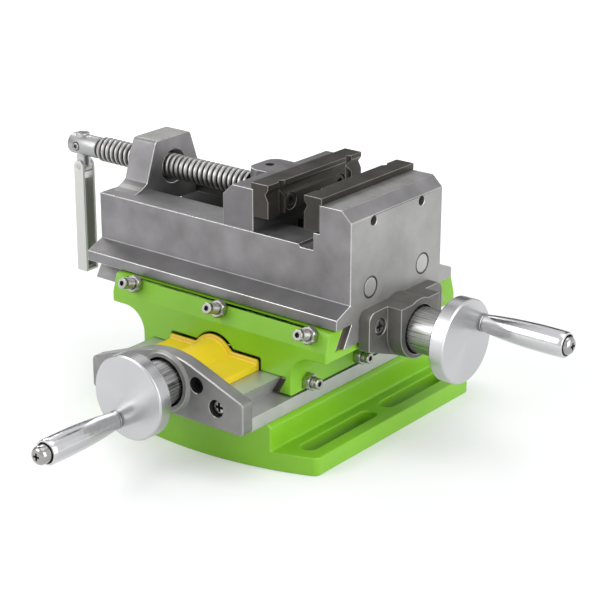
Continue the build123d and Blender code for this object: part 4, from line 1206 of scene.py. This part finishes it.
def cover_section(y, lift):
    """One section of the chip cover: its outside from left to right, then its inside back."""
    half = COVER_HALF_X
    top = COVER_WING_TOP + lift
    foot = COVER_FOOT
    edge = COVER_CORNER_EDGE
    steps = [(half - COVER_CORNER) * (2 * i / COVER_STEPS - 1) for i in range(COVER_STEPS + 1)]
    outside = [(-half, foot), (-half, top - COVER_CORNER), (-half + edge, top - edge)]
    outside += [(x, cover_height(x, lift, 0)) for x in steps]
    outside += [(half - edge, top - edge), (half, top - COVER_CORNER), (half, foot)]
    deep = half - COVER_WALL
    inside = [(deep, foot), (deep, COVER_WING_TOP - COVER_WALL)]
    inside += [
        (x * COVER_INSIDE, cover_height(x * COVER_INSIDE, 0, COVER_WALL)) for x in reversed(steps)
    ]
    inside += [(-deep, COVER_WING_TOP - COVER_WALL), (-deep, foot)]
    return [Vector((x, y, z)) for x, z in outside + inside]


def add_cover():
    """The yellow cover over the lower leadscrew, with a filleted rim at the saddle's end."""
    low, high = span("chip_cover")
    sections = [cover_section(low.y, 0)] + [cover_section(high.y + y, lift) for y, lift in COVER_RIM]
    points, faces = skin(sections)[:2]
    count = len(sections[0])
    # The rim faces take a darker yellow, painted shade.
    tones = [1 if face[0] // count >= COVER_RIM_FROM else 0 for face in faces]
    add_piece(
        "cover_hood", (points, faces, tones), [yellow, yellow_rim_painted_shade], "base", ["chip_cover"],
        WIDE_SHARP_ANGLE,
    )


def add_plug_joints():
    """Thin dark joint lines round the two plugs in the body's end."""
    low, high = span("body_plugs")
    radius = (high.z - low.z) / 2
    height = (low.z + high.z) / 2
    line = skin([ring(radius + out, rise) for out, rise in PLUG_LINE], first=False, last=False)
    places = [facing((high.x, y, height), (1, 0, 0)) for y in (low.y + radius, high.y - radius)]
    add_piece("plug_joints", copies(line, places), [painted_shade_and_joint_dark], "body", ())


def add_bracket_screws():
    """The end brackets' screws and the jaw plates' screws."""
    low, high = span("lower_bracket_screws")
    height = (low.z + high.z) / 2
    lower = [facing((x, low.y, height), (0, -1, 0)) for x in (low.x + SMALL_HEAD_R, high.x - SMALL_HEAD_R)]
    screw = cross_screw_skin(SMALL_HEAD_H, high.y - low.y - SMALL_HEAD_H)
    low, high = span("upper_bracket_screws")
    height = (low.z + high.z) / 2
    upper = [facing((high.x, y, height), (1, 0, 0)) for y in (low.y + SMALL_HEAD_R, high.y - SMALL_HEAD_R)]
    for side, body, places in (("lower", "base", lower), ("upper", "body", upper)):
        add_piece(
            side + "_bracket_fixings", copies(screw, places), [nickel, socket_painted_shade], body,
            [side + "_bracket_screws"],
        )
    for side, body, face in (("moving", "jaw", 1), ("fixed", "body", -1)):
        low, high = span(side + "_plate_screws")
        height = (low.z + high.z) / 2
        start = high.x if face > 0 else low.x
        places = [facing((start, y, height), (face, 0, 0)) for y in (low.y + CAP_HEAD_R, high.y - CAP_HEAD_R)]
        screw = cap_screw_skin(high.x - low.x)
        add_piece(
            side + "_plate_fixings", copies(screw, places), [black_oxide, socket_painted_shade], body,
            [side + "_plate_screws"],
        )


add_camera()
bpy.context.scene.view_settings.view_transform = "Standard"
light_world()
add_floor()
for lamp in LAMPS:
    area_light(*lamp)
for card in CARDS:
    dark_card(*card)

green = paint("green_paint", (0.18, 0.43, 0.012), (0.22, 0.52, 0.018))
body_iron = iron("body_iron", (0.175, 0.171, 0.175), (0.285, 0.275, 0.283))
# A lighter copy of the body's iron: painted light on its high tops and end face.
end_painted_light_iron = iron("end_painted_light_iron", (0.26, 0.258, 0.25), (0.35, 0.348, 0.338))
way_iron = iron("way_iron", (0.48, 0.48, 0.475), (0.58, 0.58, 0.57), 0.38)
bracket_iron = iron("bracket_iron", (0.20, 0.198, 0.196), (0.30, 0.296, 0.29))
black_oxide = iron("black_oxide", (0.024, 0.021, 0.017), (0.046, 0.040, 0.033), 0.42, 0.5)
nickel = bright("nickel", (0.40, 0.39, 0.375), 0.28)
# Painted shade in the spindle thread's root.
spindle_root_shade_steel = threaded(
    "spindle_root_shade_steel", "X", (0, VISE_Y * MM, SPINDLE_Z * MM), SPINDLE_R - SPINDLE_CUT, SPINDLE_R,
)
steel = bright("steel", (0.42, 0.42, 0.42), 0.3)
chrome = bright("chrome", (0.56, 0.56, 0.57), 0.19, 600)
yellow = plastic("yellow_plastic", (0.69, 0.50, 0.008), (0.77, 0.58, 0.011))
lower_turned = turned("lower_turned", "Y", (0, 0, LOWER_AXIS_Z * MM), (0.52, 0.52, 0.53))
upper_turned = turned("upper_turned", "X", (0, VISE_Y * MM, UPPER_AXIS_Z * MM), (0.52, 0.52, 0.53))
# A darker copy of the cover's yellow: painted shade on its rim.
yellow_rim_painted_shade = plastic("yellow_rim_painted_shade", (0.62, 0.41, 0.007), (0.70, 0.48, 0.010))
gib_dark = iron("gib_dark", (0.03, 0.024, 0.015), (0.10, 0.08, 0.045), 0.6, 0.2)
head_nickel = bright("head_nickel", (0.34, 0.335, 0.33), 0.14)
jaw_iron = iron("jaw_iron", (0.135, 0.13, 0.135), (0.185, 0.178, 0.184))
plug_iron = iron("plug_iron", (0.36, 0.36, 0.35), (0.45, 0.45, 0.44), 0.4)
dark_bracket_iron = iron("dark_bracket_iron", (0.115, 0.11, 0.102), (0.185, 0.18, 0.17))
# A darker copy of the body's iron: painted shade on the bed and its slopes.
bed_painted_shade_iron = iron("bed_painted_shade_iron", (0.15, 0.148, 0.15), (0.21, 0.205, 0.208), 0.5)
lever_steel = bright("lever_steel", (0.54, 0.54, 0.52), 0.38, metal=0.8)
head_steel = bright("head_steel", (0.36, 0.36, 0.36), 0.42, 900, 0.8)
# A lighter copy for broken edges: wear and a painted highlight.
worn_and_highlight_bracket = iron("worn_and_highlight_bracket", (0.30, 0.295, 0.29), (0.42, 0.41, 0.40), 0.32, 0.9, edge=0.2)
# Painted shade in sockets, recesses, handle cups, holes and bores.
socket_painted_shade = flat_tone("socket_painted_shade", (0.02, 0.02, 0.02), 0.5)
# Painted shade in the bed slot, on the retainer pin and in the nuts' mouths; also the plugs' dark joint
# lines.
painted_shade_and_joint_dark = flat_tone("painted_shade_and_joint_dark", (0.028, 0.025, 0.022), 0.5)
# Lighter copies for broken edges: wear and a painted highlight.
worn_and_highlight_iron = iron("worn_and_highlight_iron", (0.38, 0.375, 0.375), (0.52, 0.51, 0.51), 0.3, 0.9, edge=0.2)
worn_and_highlight_black = iron("worn_and_highlight_black", (0.16, 0.145, 0.125), (0.26, 0.24, 0.215), 0.35, 0.9, edge=0.2)

dress(["base_casting", "saddle_casting"], green)
dress(["vise_body", "body_plugs", "moving_jaw"], body_iron)
dress(["lower_way", "keeper"], way_iron)
dress(both("gib"), gib_dark)
dress(both("end_bracket"), bracket_iron)
dress(["fixed_jaw_plate", "moving_jaw_plate", "fixed_plate_screws", "moving_plate_screws"], black_oxide)
dress(["keeper_screws", "way_screws", "spindle_set_screw"], black_oxide)
dress(both("bracket_screws") + both("gib_screws") + both("gib_nuts") + both("handle_screw"), nickel)
dress(both("leadscrew") + both("thrust_ring"), steel)
dress(["spindle", "tongue", "lever_pin", "folding_lever"], steel)
# The retainer pin, down in its hole, is painted shade.
dress(["spindle_retainer"], painted_shade_and_joint_dark)
dress(both("screw_nut"), bright("bronze", (0.5, 0.33, 0.13), 0.35))
dress(both("handle"), chrome)
dress(["lower_handwheel"], lower_turned)
dress(["upper_handwheel"], upper_turned)
dress(["lower_collar"], streaked("lower_collar_metal", "Y", (0.5, 0.5, 0.5), 0.28))
dress(["upper_collar"], streaked("upper_collar_metal", "X", (0.5, 0.5, 0.5), 0.28))
dress(["chip_cover"], yellow)

# The body's low tops, slopes and slot take painted shade, its high tops and end face painted light.
finished("vise_body", [body_iron, worn_and_highlight_iron, bed_painted_shade_iron, painted_shade_and_joint_dark, end_painted_light_iron], 0.38, 0.5, body_light_and_shade_tone)
finished("moving_jaw", [jaw_iron, worn_and_highlight_iron, socket_painted_shade], 0.35, tone=jaw_hole_shade_tone, keep=in_retainer_hole)
finished("body_plugs", [plug_iron, worn_and_highlight_iron], 0.5)
finished("upper_end_bracket", [dark_bracket_iron, worn_and_highlight_bracket], 0.35, 0.5, shift=end_bracket_shift)
finished("lower_way", [way_iron, worn_and_highlight_iron], 0.25)
for name in both("gib"):
    finished(name, [gib_dark, worn_and_highlight_bracket], 0.2)
for name in ("fixed_jaw_plate", "moving_jaw_plate"):
    finished(name, [black_oxide, worn_and_highlight_black], 0.3)
for name in ("base_casting", "saddle_casting"):
    finished(name, [green, green], 0.8, 1.2)
finished("folding_lever", [lever_steel, lever_steel], 0.25)
finished("tongue", [steel, steel], 0.4, shift=tongue_shift)
add_spindle()
add_leadscrews()
add_wheels()
add_gib_screws()
add_bracket_screws()
add_lower_bracket()
add_cover()
add_plug_joints()
